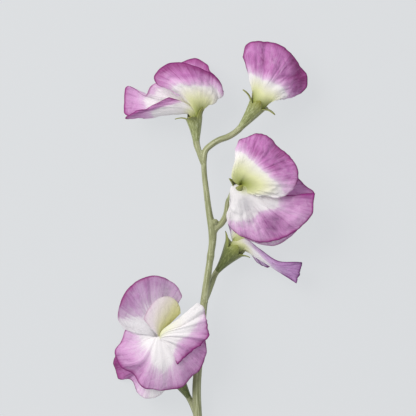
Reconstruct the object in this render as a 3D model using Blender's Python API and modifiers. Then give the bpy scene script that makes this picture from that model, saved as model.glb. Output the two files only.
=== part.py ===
"""A cut sweet pea spray laid on a table: one branching stem that carries five blossoms.

Every blossom is a calyx with its standard, two wings and a keel, whose claws are seated in the calyx cup. The
lowest blossom on the left is a double one and has a rear petal too. Lengths in the tables are millimetres. The
origin is the middle of the spray's footprint on the table, +Y runs up the stem and +Z away from the table.
"""

from collections import namedtuple

import bmesh
import bpy
import numpy as np

MM = 0.001
WELD = 0.02
"""Points nearer than this are one point."""

SEAT_GAP = 0.3
"""Clearance left between a pedicel's end and the calyx that it carries."""
STRAIGHT_END = 1.6
"""Length of the straight end with which a pedicel meets its calyx."""
STEM_SIDES = 10
STEM_STATION_SPACING = 5.0
PEDICEL_STATION_SPACING = 3.0

MAIN_STEM = [
    (-4.8, -101.4, 1.9, 1.90),
    (-5.6, -83.0, 3.6, 1.86),
    (-6.5, -62.0, 6.6, 1.82),
    (-7.1, -45.5, 9.0, 1.75),
    (-5.7, -28.5, 11.0, 1.62),
    (-4.2, -11.0, 12.4, 1.50),
    (-2.3, 3.0, 13.4, 1.42),
    (-0.5, 15.5, 14.0, 1.45),
    (-0.4, 21.0, 14.2, 1.70),
    (-1.7, 28.0, 14.5, 1.32),
    (-2.9, 37.0, 15.0, 1.15),
    (-3.9, 46.0, 15.0, 1.05),
    (-4.1, 52.0, 15.0, 1.10),
]
"""The peduncle from its cut end to the fork under the two top blossoms: x, y, z and radius."""

PEDICELS = {
    "top_left": [(-4.2, 49.5, 15.0, 0.90), (-5.4, 53.5, 14.8, 0.98)],
    "top_right": [
        (-4.1, 50.0, 15.0, 1.00),
        (-3.2, 55.2, 15.0, 1.08),
        (-0.8, 57.5, 14.8, 1.10),
        (2.6, 59.4, 14.2, 1.10),
        (6.2, 60.7, 13.4, 1.10),
    ],
    "middle": [
        (-0.6, 19.0, 14.2, 1.10),
        (1.2, 22.3, 14.5, 1.16),
        (3.4, 24.2, 15.0, 1.14),
        (5.1, 27.2, 15.8, 1.14),
    ],
    "low_right": [
        (-3.2, -8.0, 12.4, 0.85),
        (-1.9, -4.5, 12.0, 0.95),
        (-0.7, -1.1, 10.7, 1.02),
    ],
    "low_left": [(-6.8, -60.0, 7.0, 0.90), (-7.6, -56.5, 7.2, 1.00)],
}
"""Each pedicel from inside the peduncle towards its calyx: x, y, z and radius."""

BUD_SCARS = [((0.2, 24.0, 15.0), 1.35), ((-3.0, -9.0, 13.4), 0.80)]
"""Swellings left on the peduncle where a bud or a bract fell off: centre and radius."""

Blossom = namedtuple("Blossom", "throat axis back throat_rise calyx_length tooth_turn tooth_curl")
BLOSSOMS = {
    "top_left": Blossom((-8.6, 71.4, 15.0), (-0.15, 0.97, 0.10), (1.0, 0.15, 0.0), 2.9, 10.0, 40, 0.7),
    "top_right": Blossom((19.1, 74.8, 17.0), (0.54, 0.79, 0.29), (-0.17, -0.28, 0.94), 1.0, 13.0, 0, 0.4),
    "middle": Blossom((10.7, 39.5, 25.5), (0.42, 0.55, 0.72), (0.0, 0.77, -0.6), 0.0, 9.5, -6, 2.3),
    "low_right": Blossom((9.5, 14.3, 9.0), (0.60, 0.79, 0.10), (-0.8, 0.6, 0.0), 1.8, 12.0, 20, 0.5),
    "low_left": Blossom((-17.4, -37.8, 13.4), (-0.45, 0.78, 0.44), (-0.4, 0.5, -0.7), 2.7, 12.5, 50, 1.0),
}
"""The spray's five blossoms.

throat is where the petals open, axis is the way the calyx points and back is the side of the standard. The calyx
mouth lies throat_rise below the throat. tooth_turn and tooth_curl say where its teeth stand and how far they bend.
"""

CALYX_WALL = 0.6
CALYX_COLUMNS = 20
CALYX_FOOT_RADIUS = 1.15
CALYX_MOUTH_RADIUS = 3.8
CALYX_FLARE = 1.2
CALYX_TUBE_SHARES = (0.02, 0.3, 0.65, 1.0)
TOOTH_COUNT = 5
TOOTH_LENGTH = 4.2
TOOTH_SHARES = (0.5, 1.0)
TOOTH_NOTCH = 0.1
"""Height of the notch between two teeth, as a share of a tooth's length."""
TOOTH_POINT = 1.2
TOOTH_SPREAD = (0.35, 0.45)
TOOTH_CLIMB = 0.8
TOOTH_DROOP = (0.4, 0.6)
"""A tooth's shape: how its sides narrow, how it leans out, how it climbs and how it bends back with its curl."""

PETAL_THICKNESS = 0.5
CLAW_RING = {"standard": 2.0, "rear": 2.0, "wing": 1.3, "keel": 1.3}
CLAW_ARC = {"standard": 80.0, "rear": 30.0, "wing": 46.0, "keel": 36.0}
"""Radius of the ring in the calyx on which a claw stands, and the angle that it fills."""
CLAW_DEPTH = 1.8
CLAW_RISE = 2.5
"""How far a claw reaches down into the calyx, and straight out of it before the blade opens."""
BLADE_COLUMNS = 8
BLADE_ROWS = 7
REST_SOFTNESS = 0.4
"""How gently a petal that meets the table bends to lie along it."""

Petal = namedtuple("Petal", "blossom turn ribs")
PETALS = {
    "standard_top_left": Petal("top_left", 0, [
        [(-6.0, 7.5, 2.5), (-15.5, 12.5, 3.5)],
        [(-5.0, 9.5, 5.5), (-16.5, 15.0, 5.0)],
        [(-3.0, 11.0, 7.5), (-11.0, 19.3, 6.5)],
        [(1.0, 11.0, 8.0), (-3.0, 20.0, 7.5)],
        [(5.0, 9.0, 6.5), (4.5, 17.7, 6.0)],
        [(8.5, 7.0, 3.0), (8.5, 14.0, 3.0)],
        [(10.5, 5.5, -1.0), (12.2, 11.0, -1.0)],
        [(8.0, 8.0, -5.0), (10.0, 16.2, -5.0)],
        [(3.0, 10.0, -8.5), (4.5, 20.5, -8.0)],
        [(-3.0, 9.0, -10.5), (-2.0, 22.0, -11.0)],
        [(-7.0, 6.0, -11.0), (-12.0, 17.0, -14.5)],
        [(-8.0, 2.5, -9.5), (-17.0, 8.0, -15.0)],
    ]),
    "wing_near_top_left": Petal("top_left", 270, [
        [(-5.2, 4.2, 4.5), (-10.2, 5.8, 6.5)],
        [(-7.5, 2.6, 5.5), (-17.3, 2.0, 7.0)],
        [(-9.0, 1.4, 5.2), (-24.4, -0.5, 5.5)],
        [(-9.5, 0.2, 4.0), (-28.4, -2.7, 3.0)],
        [(-9.0, -0.9, 2.6), (-24.7, -3.3, 0.5)],
        [(-7.0, -1.3, 1.0), (-18.3, -2.3, -1.5)],
    ]),
    "wing_far_top_left": Petal("top_left", 90, [
        [(-6.5, 6.5, -1.5), (-14.0, 13.0, -1.0)],
        [(-8.5, 6.0, -2.0), (-17.5, 11.0, -2.0)],
        [(-10.5, 4.5, -2.5), (-20.5, 6.7, -3.0)],
        [(-13.0, 4.2, -3.0), (-24.2, 9.2, -4.0)],
        [(-15.0, 3.8, -3.0), (-27.6, 11.0, -4.5)],
        [(-15.5, 2.2, -2.0), (-29.3, 4.0, -3.0)],
        [(-14.0, 0.8, -1.0), (-28.6, -1.3, -1.0)],
        [(-10.0, 0.0, -1.5), (-22.5, -2.0, -2.0)],
    ]),
    "keel_top_left": Petal("top_left", 180, [
        [(-5.0, 4.0, 0.5), (-12.0, 4.8, 0.5)],
        [(-6.0, 2.8, 1.0), (-14.5, 3.4, 1.2)],
        [(-6.3, 1.7, 1.2), (-15.5, 1.7, 1.5)],
        [(-6.0, 0.6, 1.0), (-14.5, 0.2, 1.0)],
        [(-5.0, -0.2, 0.4), (-12.0, -0.9, 0.2)],
    ]),
    "standard_top_right": Petal("top_right", 0, [
        [(-1.9, 5.2, 2.6), (-4.4, 12.0, 3.5), (-7.0, 19.5, 3.0)],
        [(-1.2, 5.6, 3.0), (-2.5, 13.0, 4.5), (-5.0, 24.2, 3.0)],
        [(-0.2, 5.9, 3.4), (0.3, 13.5, 5.0), (0.0, 26.0, 3.0)],
        [(0.9, 5.9, 3.6), (3.0, 13.0, 5.0), (5.0, 25.8, 2.0)],
        [(2.0, 5.6, 3.7), (5.8, 11.8, 4.8), (11.2, 22.6, 0.0)],
        [(3.0, 5.1, 3.7), (8.0, 9.8, 4.2), (16.2, 17.8, -2.0)],
        [(3.9, 4.4, 3.6), (9.6, 7.6, 3.4), (20.2, 12.5, -4.0)],
        [(4.7, 3.5, 3.4), (10.0, 5.2, 2.6), (20.0, 7.2, -5.0)],
        [(5.2, 2.4, 3.0), (9.6, 3.2, 1.6), (16.5, 3.0, -5.5)],
        [(5.4, 1.3, 2.4), (8.2, 1.6, 0.8), (11.5, 1.7, -3.5)],
    ]),
    "wing_left_top_right": Petal("top_right", 270, [
        [(0.0, 9.0, 0.0), (1.0, 16.0, -2.0)],
        [(0.0, 9.0, -3.0), (0.0, 20.0, -5.0)],
        [(0.5, 8.5, -6.0), (2.0, 21.0, -10.0)],
        [(1.5, 7.0, -8.0), (4.0, 18.0, -15.5)],
        [(2.5, 5.5, -8.0), (6.0, 14.0, -17.0)],
    ]),
    "wing_right_top_right": Petal("top_right", 90, [
        [(6.6, 4.8, -0.8), (12.0, 9.0, -4.2)],
        [(7.6, 5.3, -3.0), (15.0, 10.5, -7.0)],
        [(8.2, 5.8, -5.6), (15.5, 12.0, -11.5)],
        [(8.2, 5.6, -7.8), (14.0, 11.5, -16.0)],
        [(7.6, 4.6, -8.5), (11.5, 8.5, -17.0)],
    ]),
    "keel_top_right": Petal("top_right", 180, [
        [(2.9, 5.8, -3.0), (6.5, 12.5, -7.0)],
        [(3.2, 5.0, -4.0), (6.9, 12.0, -9.5)],
        [(3.6, 4.4, -4.8), (7.6, 11.4, -10.5)],
        [(4.2, 4.2, -4.2), (8.3, 11.0, -9.5)],
        [(4.6, 4.4, -3.2), (8.8, 10.8, -7.0)],
    ]),
    "standard_middle": Petal("middle", 20, [
        [(-2.6, 5.0, 2.6), (-2.4, 9.4, 3.4), (-1.0, 15.5, 2.0)],
        [(-1.7, 5.8, 3.2), (-0.9, 11.0, 4.8), (0.0, 19.0, 2.0)],
        [(-0.5, 6.4, 3.7), (1.4, 12.0, 5.6), (3.4, 20.8, 1.5)],
        [(0.8, 6.7, 4.0), (3.8, 12.4, 6.0), (7.0, 22.2, 1.0)],
        [(2.2, 6.5, 4.2), (6.4, 11.6, 6.3), (11.3, 20.7, 0.5)],
        [(3.5, 6.1, 4.3), (8.8, 10.0, 6.5), (16.4, 17.0, 0.0)],
        [(4.6, 5.3, 4.3), (10.8, 7.9, 6.5), (21.0, 13.0, -0.5)],
        [(5.4, 4.2, 4.2), (12.2, 5.4, 6.3), (23.9, 8.0, -1.0)],
        [(5.9, 3.0, 4.0), (12.6, 2.8, 6.0), (24.6, 3.4, -1.0)],
        [(6.1, 1.6, 3.7), (12.0, 0.4, 5.5), (21.8, -1.9, 0.0)],
        [(6.0, 0.2, 3.3), (10.8, -1.6, 4.5), (16.7, -4.3, 1.0)],
        [(5.5, -1.1, 2.8), (9.0, -2.5, 3.6), (12.2, -3.3, 2.4)],
    ]),
    "wing_near_middle": Petal("middle", 170, [
        [(1.0, -1.1, 4.6), (-3.0, -5.6, 0.8), (-4.4, -12.8, -4.0)],
        [(0.7, -1.2, 4.0), (-2.1, -7.1, 0.4), (-3.4, -17.5, -5.0)],
        [(0.9, -1.6, 3.7), (-0.4, -8.0, 1.5), (0.6, -20.6, -4.5)],
        [(1.3, -1.8, 3.5), (1.7, -8.4, 0.5), (5.0, -22.3, -4.0)],
        [(1.7, -1.9, 3.2), (4.2, -8.4, -1.2), (10.5, -23.3, -3.5)],
        [(2.1, -1.9, 2.8), (6.7, -8.0, 0.0), (16.0, -22.3, -3.0)],
        [(2.5, -1.8, 2.8), (8.8, -7.4, 1.5), (21.8, -19.4, -2.0)],
        [(2.8, -1.6, 2.8), (10.5, -6.3, 1.5), (27.7, -15.5, 0.0)],
        [(3.1, -1.4, 2.8), (11.8, -5.5, 1.0), (30.7, -10.9, 1.0)],
        [(3.3, -1.1, 2.7), (12.2, -4.8, 0.2), (31.0, -6.7, 0.5)],
        [(3.4, -0.8, 2.6), (11.3, -4.0, -0.4), (31.8, -2.6, -1.0)],
    ]),
    "wing_far_middle": Petal("middle", 242, [
        [(4.5, -3.3, 0.2), (4.2, -8.5, -6.0), (2.5, -21.8, -9.0)],
        [(4.7, -3.1, 0.1), (5.8, -9.5, -6.0), (9.7, -24.3, -8.5)],
        [(4.9, -3.0, 0.1), (7.6, -9.5, -6.0), (16.0, -24.4, -8.0)],
        [(5.1, -2.8, 0.0), (9.5, -8.5, -6.0), (21.8, -20.8, -7.5)],
        [(5.3, -2.6, 0.0), (11.5, -7.0, -6.0), (26.9, -14.7, -7.0)],
        [(5.4, -2.5, -0.1), (12.5, -5.0, -5.8), (30.2, -7.6, -6.5)],
        [(5.6, -2.4, -0.1), (13.0, -3.0, -5.5), (31.5, -2.1, -6.0)],
        [(5.7, -2.2, -0.2), (12.5, -1.0, -5.0), (28.1, 0.4, -5.5)],
        [(5.9, -2.1, -0.3), (11.5, 1.0, -4.5), (25.0, 3.6, -5.0)],
    ]),
    "keel_middle": Petal("middle", 305, [
        [(5.2, -0.4, -0.8), (10.0, -1.4, 0.8), (15.0, -2.0, 0.0)],
        [(5.3, 0.3, -0.6), (10.5, 0.2, 1.4), (17.0, -0.4, 0.4)],
        [(5.3, 1.0, -0.5), (10.5, 2.0, 1.5), (17.5, 2.0, 0.4)],
        [(5.3, 1.5, -0.7), (9.8, 3.6, 1.2), (16.0, 4.4, 0.0)],
        [(5.1, 2.2, -0.9), (8.5, 4.8, 0.4), (13.5, 6.0, -0.6)],
    ]),
    "standard_low_right": Petal("low_right", 0, [
        [(-1.8, 3.4, 1.0), (-2.6, 6.6, 1.5), (-3.6, 10.5, 0.0)],
        [(-1.0, 4.2, 1.8), (-1.0, 8.4, 2.5), (-2.0, 15.0, -1.0)],
        [(0.2, 4.7, 2.4), (1.8, 9.4, 3.0), (3.0, 18.0, -2.0)],
        [(1.6, 4.8, 2.7), (4.8, 9.4, 3.2), (9.5, 17.5, -3.0)],
        [(3.0, 4.6, 2.8), (7.4, 8.2, 3.0), (15.5, 14.0, -4.5)],
        [(4.2, 4.0, 2.6), (9.4, 6.4, 2.4), (19.5, 9.5, -5.5)],
        [(5.0, 3.2, 2.2), (10.2, 4.4, 1.4), (19.0, 4.5, -6.0)],
    ]),
    "wing_near_low_right": Petal("low_right", 90, [
        [(8.4, 0.8, 2.5), (17.0, -5.0, 3.5), (26.5, -6.1, 5.0)],
        [(8.0, -0.8, 3.0), (17.2, -7.1, 4.0), (27.5, -6.3, 4.5)],
        [(7.8, -1.9, 3.0), (17.3, -8.8, 3.5), (27.2, -10.1, 3.0)],
        [(7.6, -2.9, 2.0), (17.2, -10.6, 2.0), (26.2, -15.2, 1.5)],
        [(6.7, -3.8, 1.0), (14.0, -8.4, 1.0), (22.0, -13.6, 1.0)],
    ]),
    "wing_far_low_right": Petal("low_right", 270, [
        [(5.5, -2.5, -2.0), (9.0, -6.8, -3.5)],
        [(6.5, -2.7, -2.5), (11.8, -7.8, -4.5)],
        [(7.5, -2.7, -3.0), (14.5, -7.8, -5.0)],
        [(8.0, -2.0, -3.0), (17.0, -5.5, -5.0)],
        [(8.0, -0.5, -3.0), (17.0, -1.0, -5.5)],
        [(7.0, 1.0, -3.5), (13.0, 2.5, -6.5)],
    ]),
    "keel_low_right": Petal("low_right", 180, [
        [(6.0, 1.5, -0.6), (14.0, -1.0, -1.5)],
        [(6.3, 0.4, -0.3), (16.0, -2.8, -1.0)],
        [(6.3, -0.6, -0.1), (16.5, -4.5, -0.8)],
        [(6.0, -1.6, -0.3), (15.5, -6.0, -1.0)],
        [(5.0, -2.2, -0.8), (13.0, -6.5, -1.6)],
    ]),
    "standard_low_left": Petal("low_left", 0, [
        [(-8.8, 15.4, 8.5), (-14.3, 16.1, 8.0), (-20.2, 17.7, 7.0)],
        [(-9.0, 16.6, 8.0), (-16.0, 18.9, 6.5), (-22.8, 21.8, 5.0)],
        [(-8.9, 18.0, 7.5), (-15.2, 22.7, 5.5), (-22.1, 27.7, 4.0)],
        [(-8.4, 19.3, 7.0), (-13.5, 26.4, 5.0), (-18.9, 34.0, 4.0)],
        [(-7.6, 20.6, 7.0), (-11.0, 29.4, 5.0), (-13.1, 38.8, 4.0)],
        [(-6.3, 21.4, 7.0), (-7.2, 30.6, 5.0), (-7.0, 40.2, 5.0)],
        [(-5.1, 21.4, 7.0), (-3.8, 30.2, 5.0), (-1.7, 38.7, 5.0)],
        [(-3.8, 21.0, 7.0), (-1.3, 28.5, 5.0), (2.7, 35.1, 6.0)],
        [(-3.0, 20.1, 7.0), (0.4, 26.4, 5.0), (4.0, 31.5, 6.0)],
    ]),
    "wing_left_low_left": Petal("low_left", 155, [
        [(-7.6, 10.8, 5.4), (-14.0, 14.6, 5.0), (-19.5, 16.6, 4.5)],
        [(-7.6, 10.2, 6.2), (-15.0, 11.8, 6.0), (-22.1, 10.1, 5.0)],
        [(-7.4, 9.6, 7.0), (-14.7, 8.8, 7.6), (-24.2, 7.6, 5.0)],
        [(-7.0, 9.2, 7.8), (-12.2, 4.6, 9.2), (-20.2, 1.7, 4.0)],
        [(-6.5, 9.0, 8.4), (-9.3, 2.9, 10.2), (-13.2, -4.0, 4.0)],
        [(-5.9, 8.9, 8.8), (-6.3, 2.1, 10.6), (-9.6, -7.9, 4.0)],
        [(-5.3, 9.0, 9.1), (-2.6, 2.1, 10.6), (-0.3, -8.1, 4.0)],
        [(-4.8, 9.2, 9.3), (1.6, 3.8, 10.4), (6.7, -4.2, 5.0)],
        [(-4.3, 9.4, 9.4), (5.0, 6.3, 10.2), (12.0, 0.4, 5.5)],
        [(-3.9, 9.7, 9.4), (7.1, 9.6, 9.8), (13.9, 8.1, 7.0)],
    ]),
    "wing_right_low_left": Petal("low_left", 222, [
        [(-2.0, 16.6, 11.2), (3.3, 23.5, 14.0), (10.7, 29.2, 13.0)],
        [(-1.6, 15.9, 11.4), (5.0, 21.4, 14.5), (13.4, 26.9, 12.0)],
        [(-1.6, 15.4, 11.3), (5.8, 19.3, 15.0), (14.7, 20.6, 11.5)],
        [(-1.4, 14.6, 11.5), (5.8, 16.8, 15.0), (15.2, 16.8, 12.0)],
        [(-1.6, 13.8, 11.8), (4.6, 14.3, 15.0), (12.1, 12.4, 13.0)],
        [(-2.2, 13.1, 12.0), (2.3, 11.7, 14.6), (7.5, 8.2, 14.0)],
        [(-3.2, 12.6, 12.2), (-0.5, 9.2, 14.2), (3.3, 3.8, 14.5)],
    ]),
    "keel_low_left": Petal("low_left", 300, [
        [(-7.2, 17.6, 10.6), (-9.7, 20.6, 9.7), (-11.2, 23.9, 9.0)],
        [(-6.5, 18.3, 10.3), (-8.2, 23.9, 9.5), (-9.1, 27.3, 9.0)],
        [(-5.7, 18.7, 10.0), (-5.5, 25.2, 9.5), (-5.1, 30.6, 9.0)],
        [(-5.0, 19.0, 9.6), (-2.6, 25.6, 9.5), (-1.1, 31.4, 9.0)],
        [(-4.0, 18.9, 9.2), (-0.5, 24.8, 9.5), (2.3, 28.8, 9.0)],
        [(-3.3, 18.6, 9.0), (0.6, 22.9, 9.5), (3.7, 25.4, 9.5)],
    ]),
    "rear_petal_low_left": Petal("low_left", 85, [
        [(-6.2, 5.0, 1.8), (-14.4, 6.6, -0.5), (-24.2, 5.9, -8.5)],
        [(-6.1, 4.4, 2.1), (-14.4, 4.6, -0.5), (-25.2, 2.9, -11.0)],
        [(-5.9, 3.8, 2.5), (-13.4, 1.6, 0.0), (-23.4, -3.8, -13.1)],
        [(-5.6, 3.3, 2.9), (-11.5, 0.0, 0.8), (-17.1, -5.2, -7.5)],
        [(-5.3, 2.9, 3.3), (-9.8, -1.4, 1.6), (-14.7, -9.7, -4.5)],
        [(-4.9, 2.5, 3.7), (-8.4, -2.0, 2.4), (-11.0, -12.2, -2.4)],
        [(-4.4, 2.1, 4.2), (-6.8, -2.2, 3.2), (-6.8, -11.4, -1.4)],
        [(-3.8, 1.8, 4.6), (-5.2, -1.9, 4.0), (-3.0, -8.4, -0.4)],
    ]),
}
"""Every petal: its blossom, where its claw stands (degrees round the calyx from the back), and its ribs.

A rib runs from the claw to the rim. Its points are measured from the middle of the calyx mouth.
"""

ROUGHNESS = 0.6
STEM_GREEN = (0.33, 0.40, 0.20, 1.0)
CALYX_GREEN = (0.40, 0.46, 0.22, 1.0)
PETAL_COLOR = {
    "standard": (0.55, 0.24, 0.47, 1.0),
    "wing": (0.66, 0.42, 0.62, 1.0),
    "keel": (0.76, 0.72, 0.58, 1.0),
    "rear": (0.42, 0.15, 0.36, 1.0),
}


def unit(vector):
    """The vector scaled to length one."""
    vector = np.asarray(vector, float)
    return vector / np.linalg.norm(vector)


def hermite(points, knots, shares):
    """Points at the given shares on the smooth curve that passes each point at its knot."""
    slopes = np.gradient(points, knots, axis=0)
    left = np.clip(np.searchsorted(knots, shares, side="right") - 1, 0, len(knots) - 2)
    width = (knots[left + 1] - knots[left])[:, None]
    t = (shares - knots[left])[:, None] / width
    start = (1 + 2 * t) * (1 - t) ** 2 * points[left] + t * (1 - t) ** 2 * width * slopes[left]
    end = t * t * (3 - 2 * t) * points[left + 1] + t * t * (t - 1) * width * slopes[left + 1]
    return start + end


def chord_knots(points):
    """Share of the way along the straight steps between points at which each point lies."""
    steps = np.linalg.norm(np.diff(points[:, :3], axis=0), axis=1)
    return np.concatenate([[0.0], np.cumsum(steps)]) / steps.sum()


def frame_of(blossom):
    """The blossom's axis, the side of its standard square to that axis, and the direction square to both."""
    axis = unit(blossom.axis)
    back = np.asarray(blossom.back, float)
    back = unit(back - axis * back.dot(axis))
    return axis, back, np.cross(axis, back)


def calyx_mouth(blossom):
    """The middle of the calyx mouth."""
    return np.array(blossom.throat) - unit(blossom.axis) * blossom.throat_rise


def principled(name, color):
    """A plain Principled BSDF material."""
    material = bpy.data.materials.new(name)
    material.use_nodes = True
    shader = material.node_tree.nodes["Principled BSDF"]
    shader.inputs["Base Color"].default_value = color
    shader.inputs["Roughness"].default_value = ROUGHNESS
    material.diffuse_color = color
    return material


def add_object(name, mesh, material, collection):
    """Link a mesh to the scene as a named object that wears its own material."""
    obj = bpy.data.objects.new(name, mesh)
    mesh.materials.clear()
    mesh.materials.append(material)
    collection.objects.link(obj)
    return obj


def finish_mesh(bm, name):
    """Weld what coincides, turn the faces one way and return the mesh."""
    bmesh.ops.remove_doubles(bm, verts=bm.verts, dist=WELD * MM)
    bmesh.ops.recalc_face_normals(bm, faces=bm.faces)
    mesh = bpy.data.meshes.new(name)
    bm.to_mesh(mesh)
    bm.free()
    mesh.shade_smooth()
    return mesh


def mapped_grid(name, place):
    """A grid of faces laid on the millimetre points place[column][row]."""
    columns, rows = len(place) - 1, len(place[0]) - 1
    bm = bmesh.new()
    bmesh.ops.create_grid(bm, x_segments=columns, y_segments=rows, size=0.5)
    for vertex in bm.verts:
        column = round((vertex.co.x + 0.5) * columns)
        row = round((vertex.co.y + 0.5) * rows)
        vertex.co = place[column][row] * MM
    return finish_mesh(bm, name)


def solidify(obj, thickness):
    """Give an open surface its thickness, half to each side."""
    modifier = obj.modifiers.new("thickness", "SOLIDIFY")
    modifier.thickness = thickness * MM
    modifier.offset = 0.0


def tube_mesh(name, stations, spacing):
    """A closed tapering tube along the stations (x, y, z, radius), as a welded mesh."""
    stations = np.asarray(stations, float)
    length = np.linalg.norm(np.diff(stations[:, :3], axis=0), axis=1).sum()
    shares = np.linspace(0.0, 1.0, round(length / spacing) + 1)
    points = hermite(stations, chord_knots(stations), shares)
    curve = bpy.data.curves.new(name, "CURVE")
    curve.dimensions = "3D"
    curve.bevel_depth = MM
    curve.bevel_resolution = STEM_SIDES // 2 - 2
    curve.render_resolution_u = 0
    curve.use_fill_caps = True
    spline = curve.splines.new("POLY")
    spline.points.add(len(points) - 1)
    for point, (x, y, z, radius) in zip(spline.points, points):
        point.co = (x * MM, y * MM, z * MM, 1.0)
        point.radius = radius
    guide = bpy.data.objects.new(name + "_guide", curve)
    bpy.context.scene.collection.objects.link(guide)
    bpy.context.view_layer.update()
    evaluated = guide.evaluated_get(bpy.context.evaluated_depsgraph_get())
    mesh = bpy.data.meshes.new_from_object(evaluated)
    bpy.data.objects.remove(guide)
    bm = bmesh.new()
    bm.from_mesh(mesh)
    bpy.data.meshes.remove(mesh)
    return finish_mesh(bm, name)


def swelling_mesh(name, centre, radius):
    """A small round swelling on the stem."""
    bm = bmesh.new()
    bmesh.ops.create_icosphere(bm, subdivisions=2, radius=radius * MM)
    bmesh.ops.translate(bm, verts=bm.verts, vec=np.array(centre) * MM)
    return finish_mesh(bm, name)


def add_stem(collection, cutters):
    """The peduncle with its pedicels and bud scars, grown together into one solid."""
    material = principled("stem_skin", STEM_GREEN)
    stem = add_object("stem", tube_mesh("stem", MAIN_STEM, STEM_STATION_SPACING), material, collection)
    branches = []
    for name, route in PEDICELS.items():
        blossom = BLOSSOMS[name]
        axis = unit(blossom.axis)
        end = calyx_mouth(blossom) - axis * (blossom.calyx_length + SEAT_GAP)
        route = route + [(*(end - axis * STRAIGHT_END), CALYX_FOOT_RADIUS), (*end, CALYX_FOOT_RADIUS)]
        branches.append(tube_mesh("pedicel_" + name, route, PEDICEL_STATION_SPACING))
    for number, (centre, radius) in enumerate(BUD_SCARS, start=1):
        branches.append(swelling_mesh(f"bud_scar_{number}", centre, radius))
    for mesh in branches:
        branch = add_object(mesh.name, mesh, material, cutters)
        branch.hide_render = True
        branch.display_type = "WIRE"
        join = stem.modifiers.new("join " + mesh.name, "BOOLEAN")
        join.operation = "UNION"
        join.object = branch


def calyx_radius(share):
    """Radius of the calyx tube at a share of its length from foot to mouth."""
    return CALYX_FOOT_RADIUS + (CALYX_MOUTH_RADIUS - CALYX_FOOT_RADIUS) * share ** CALYX_FLARE


def tooth_share(turn):
    """Height of the calyx rim at an angle, as a share of a tooth's length."""
    across = abs((turn * TOOTH_COUNT / 360.0 + 0.5) % 1.0 - 0.5) * 2.0
    return TOOTH_NOTCH + (1.0 - TOOTH_NOTCH) * (1.0 - across) ** TOOTH_POINT


def add_calyx(name, blossom, collection):
    """A cup that widens from the pedicel to its mouth and ends in five pointed teeth."""
    axis, back, side = frame_of(blossom)
    mouth = calyx_mouth(blossom)
    foot = mouth - axis * blossom.calyx_length
    droop = TOOTH_DROOP[0] + TOOTH_DROOP[1] * blossom.tooth_curl
    place = []
    for column in range(CALYX_COLUMNS + 1):
        turn = column * 360.0 / CALYX_COLUMNS
        radial = back * np.cos(np.radians(turn)) + side * np.sin(np.radians(turn))
        points = [foot + axis * CALYX_WALL / 2]
        for share in CALYX_TUBE_SHARES:
            height = CALYX_WALL / 2 + (blossom.calyx_length - CALYX_WALL / 2) * share
            points.append(foot + axis * height + radial * (calyx_radius(share) - CALYX_WALL / 2))
        for share in TOOTH_SHARES:
            t = share * tooth_share(turn - blossom.tooth_turn)
            out = TOOTH_LENGTH * (TOOTH_SPREAD[0] * t + TOOTH_SPREAD[1] * t * t)
            up = TOOTH_LENGTH * (TOOTH_CLIMB * t - droop * t * t)
            points.append(mouth + axis * up + radial * (CALYX_MOUTH_RADIUS - CALYX_WALL / 2 + out))
        place.append(points)
    material = principled(name + "_skin", CALYX_GREEN)
    solidify(add_object(name, mapped_grid(name, place), material, collection), CALYX_WALL)


def petal_surface(name, petal):
    """Points of the petal's middle surface, by column and row, in millimetres."""
    kind = name.split("_")[0]
    blossom = BLOSSOMS[petal.blossom]
    axis, back, side = frame_of(blossom)
    ribs = np.array(petal.ribs, float) + blossom.throat
    spread = chord_knots(ribs[:, -1])
    angle = np.radians(petal.turn)
    sideways = side * np.cos(angle) - back * np.sin(angle)
    way = np.sign(sideways.dot(ribs[-1, 0] - ribs[0, 0]))
    row_shares = np.linspace(0.0, 1.0, BLADE_ROWS + 1)
    column_shares = np.linspace(0.0, 1.0, BLADE_COLUMNS + 1)
    along_ribs = []
    for rib, share in zip(ribs, spread):
        turn = np.radians(petal.turn + way * (share - 0.5) * CLAW_ARC[kind])
        seat = calyx_mouth(blossom) + (back * np.cos(turn) + side * np.sin(turn)) * CLAW_RING[kind]
        route = np.vstack([seat - axis * CLAW_DEPTH, seat + axis * CLAW_RISE, rib])
        along_ribs.append(hermite(route, chord_knots(route), row_shares))
    rows = [hermite(row, spread, column_shares) for row in np.stack(along_ribs, axis=1)]
    surface = np.stack(rows, axis=1)
    rest = PETAL_THICKNESS / 2
    surface[..., 2] = rest + REST_SOFTNESS * np.logaddexp(0.0, (surface[..., 2] - rest) / REST_SOFTNESS)
    return surface


def add_petal(name, petal, collection):
    """One petal: a narrow claw in the calyx that opens into a curved blade."""
    mesh = mapped_grid(name, petal_surface(name, petal))
    material = principled(name + "_skin", PETAL_COLOR[name.split("_")[0]])
    solidify(add_object(name, mesh, material, collection), PETAL_THICKNESS)


def main():
    """Build the whole spray."""
    for obj in list(bpy.data.objects):
        bpy.data.objects.remove(obj)
    scene_root = bpy.context.scene.collection
    parts = bpy.data.collections.new("sweet_pea_spray")
    cutters = bpy.data.collections.new("joined_into_stem")
    scene_root.children.link(parts)
    scene_root.children.link(cutters)
    add_stem(parts, cutters)
    for name, blossom in BLOSSOMS.items():
        add_calyx("calyx_" + name, blossom, parts)
    for name, petal in PETALS.items():
        add_petal(name, petal, parts)


main()
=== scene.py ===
"""A cut sweet pea spray with five blossoms, laid on a pale light table.

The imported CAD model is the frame. The stem, each calyx and each petal get a detailed mesh that stands for
the CAD node of the same name and rides on the one body, "root". Lengths in the tables are millimetres
along the frame's axes: +Y runs up the stem, +X to its right and +Z away from the table.
"""

import logging
from dataclasses import dataclass
from enum import Enum
from functools import partial

import bmesh
import bpy
import numpy as np
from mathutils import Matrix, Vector, noise


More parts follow.
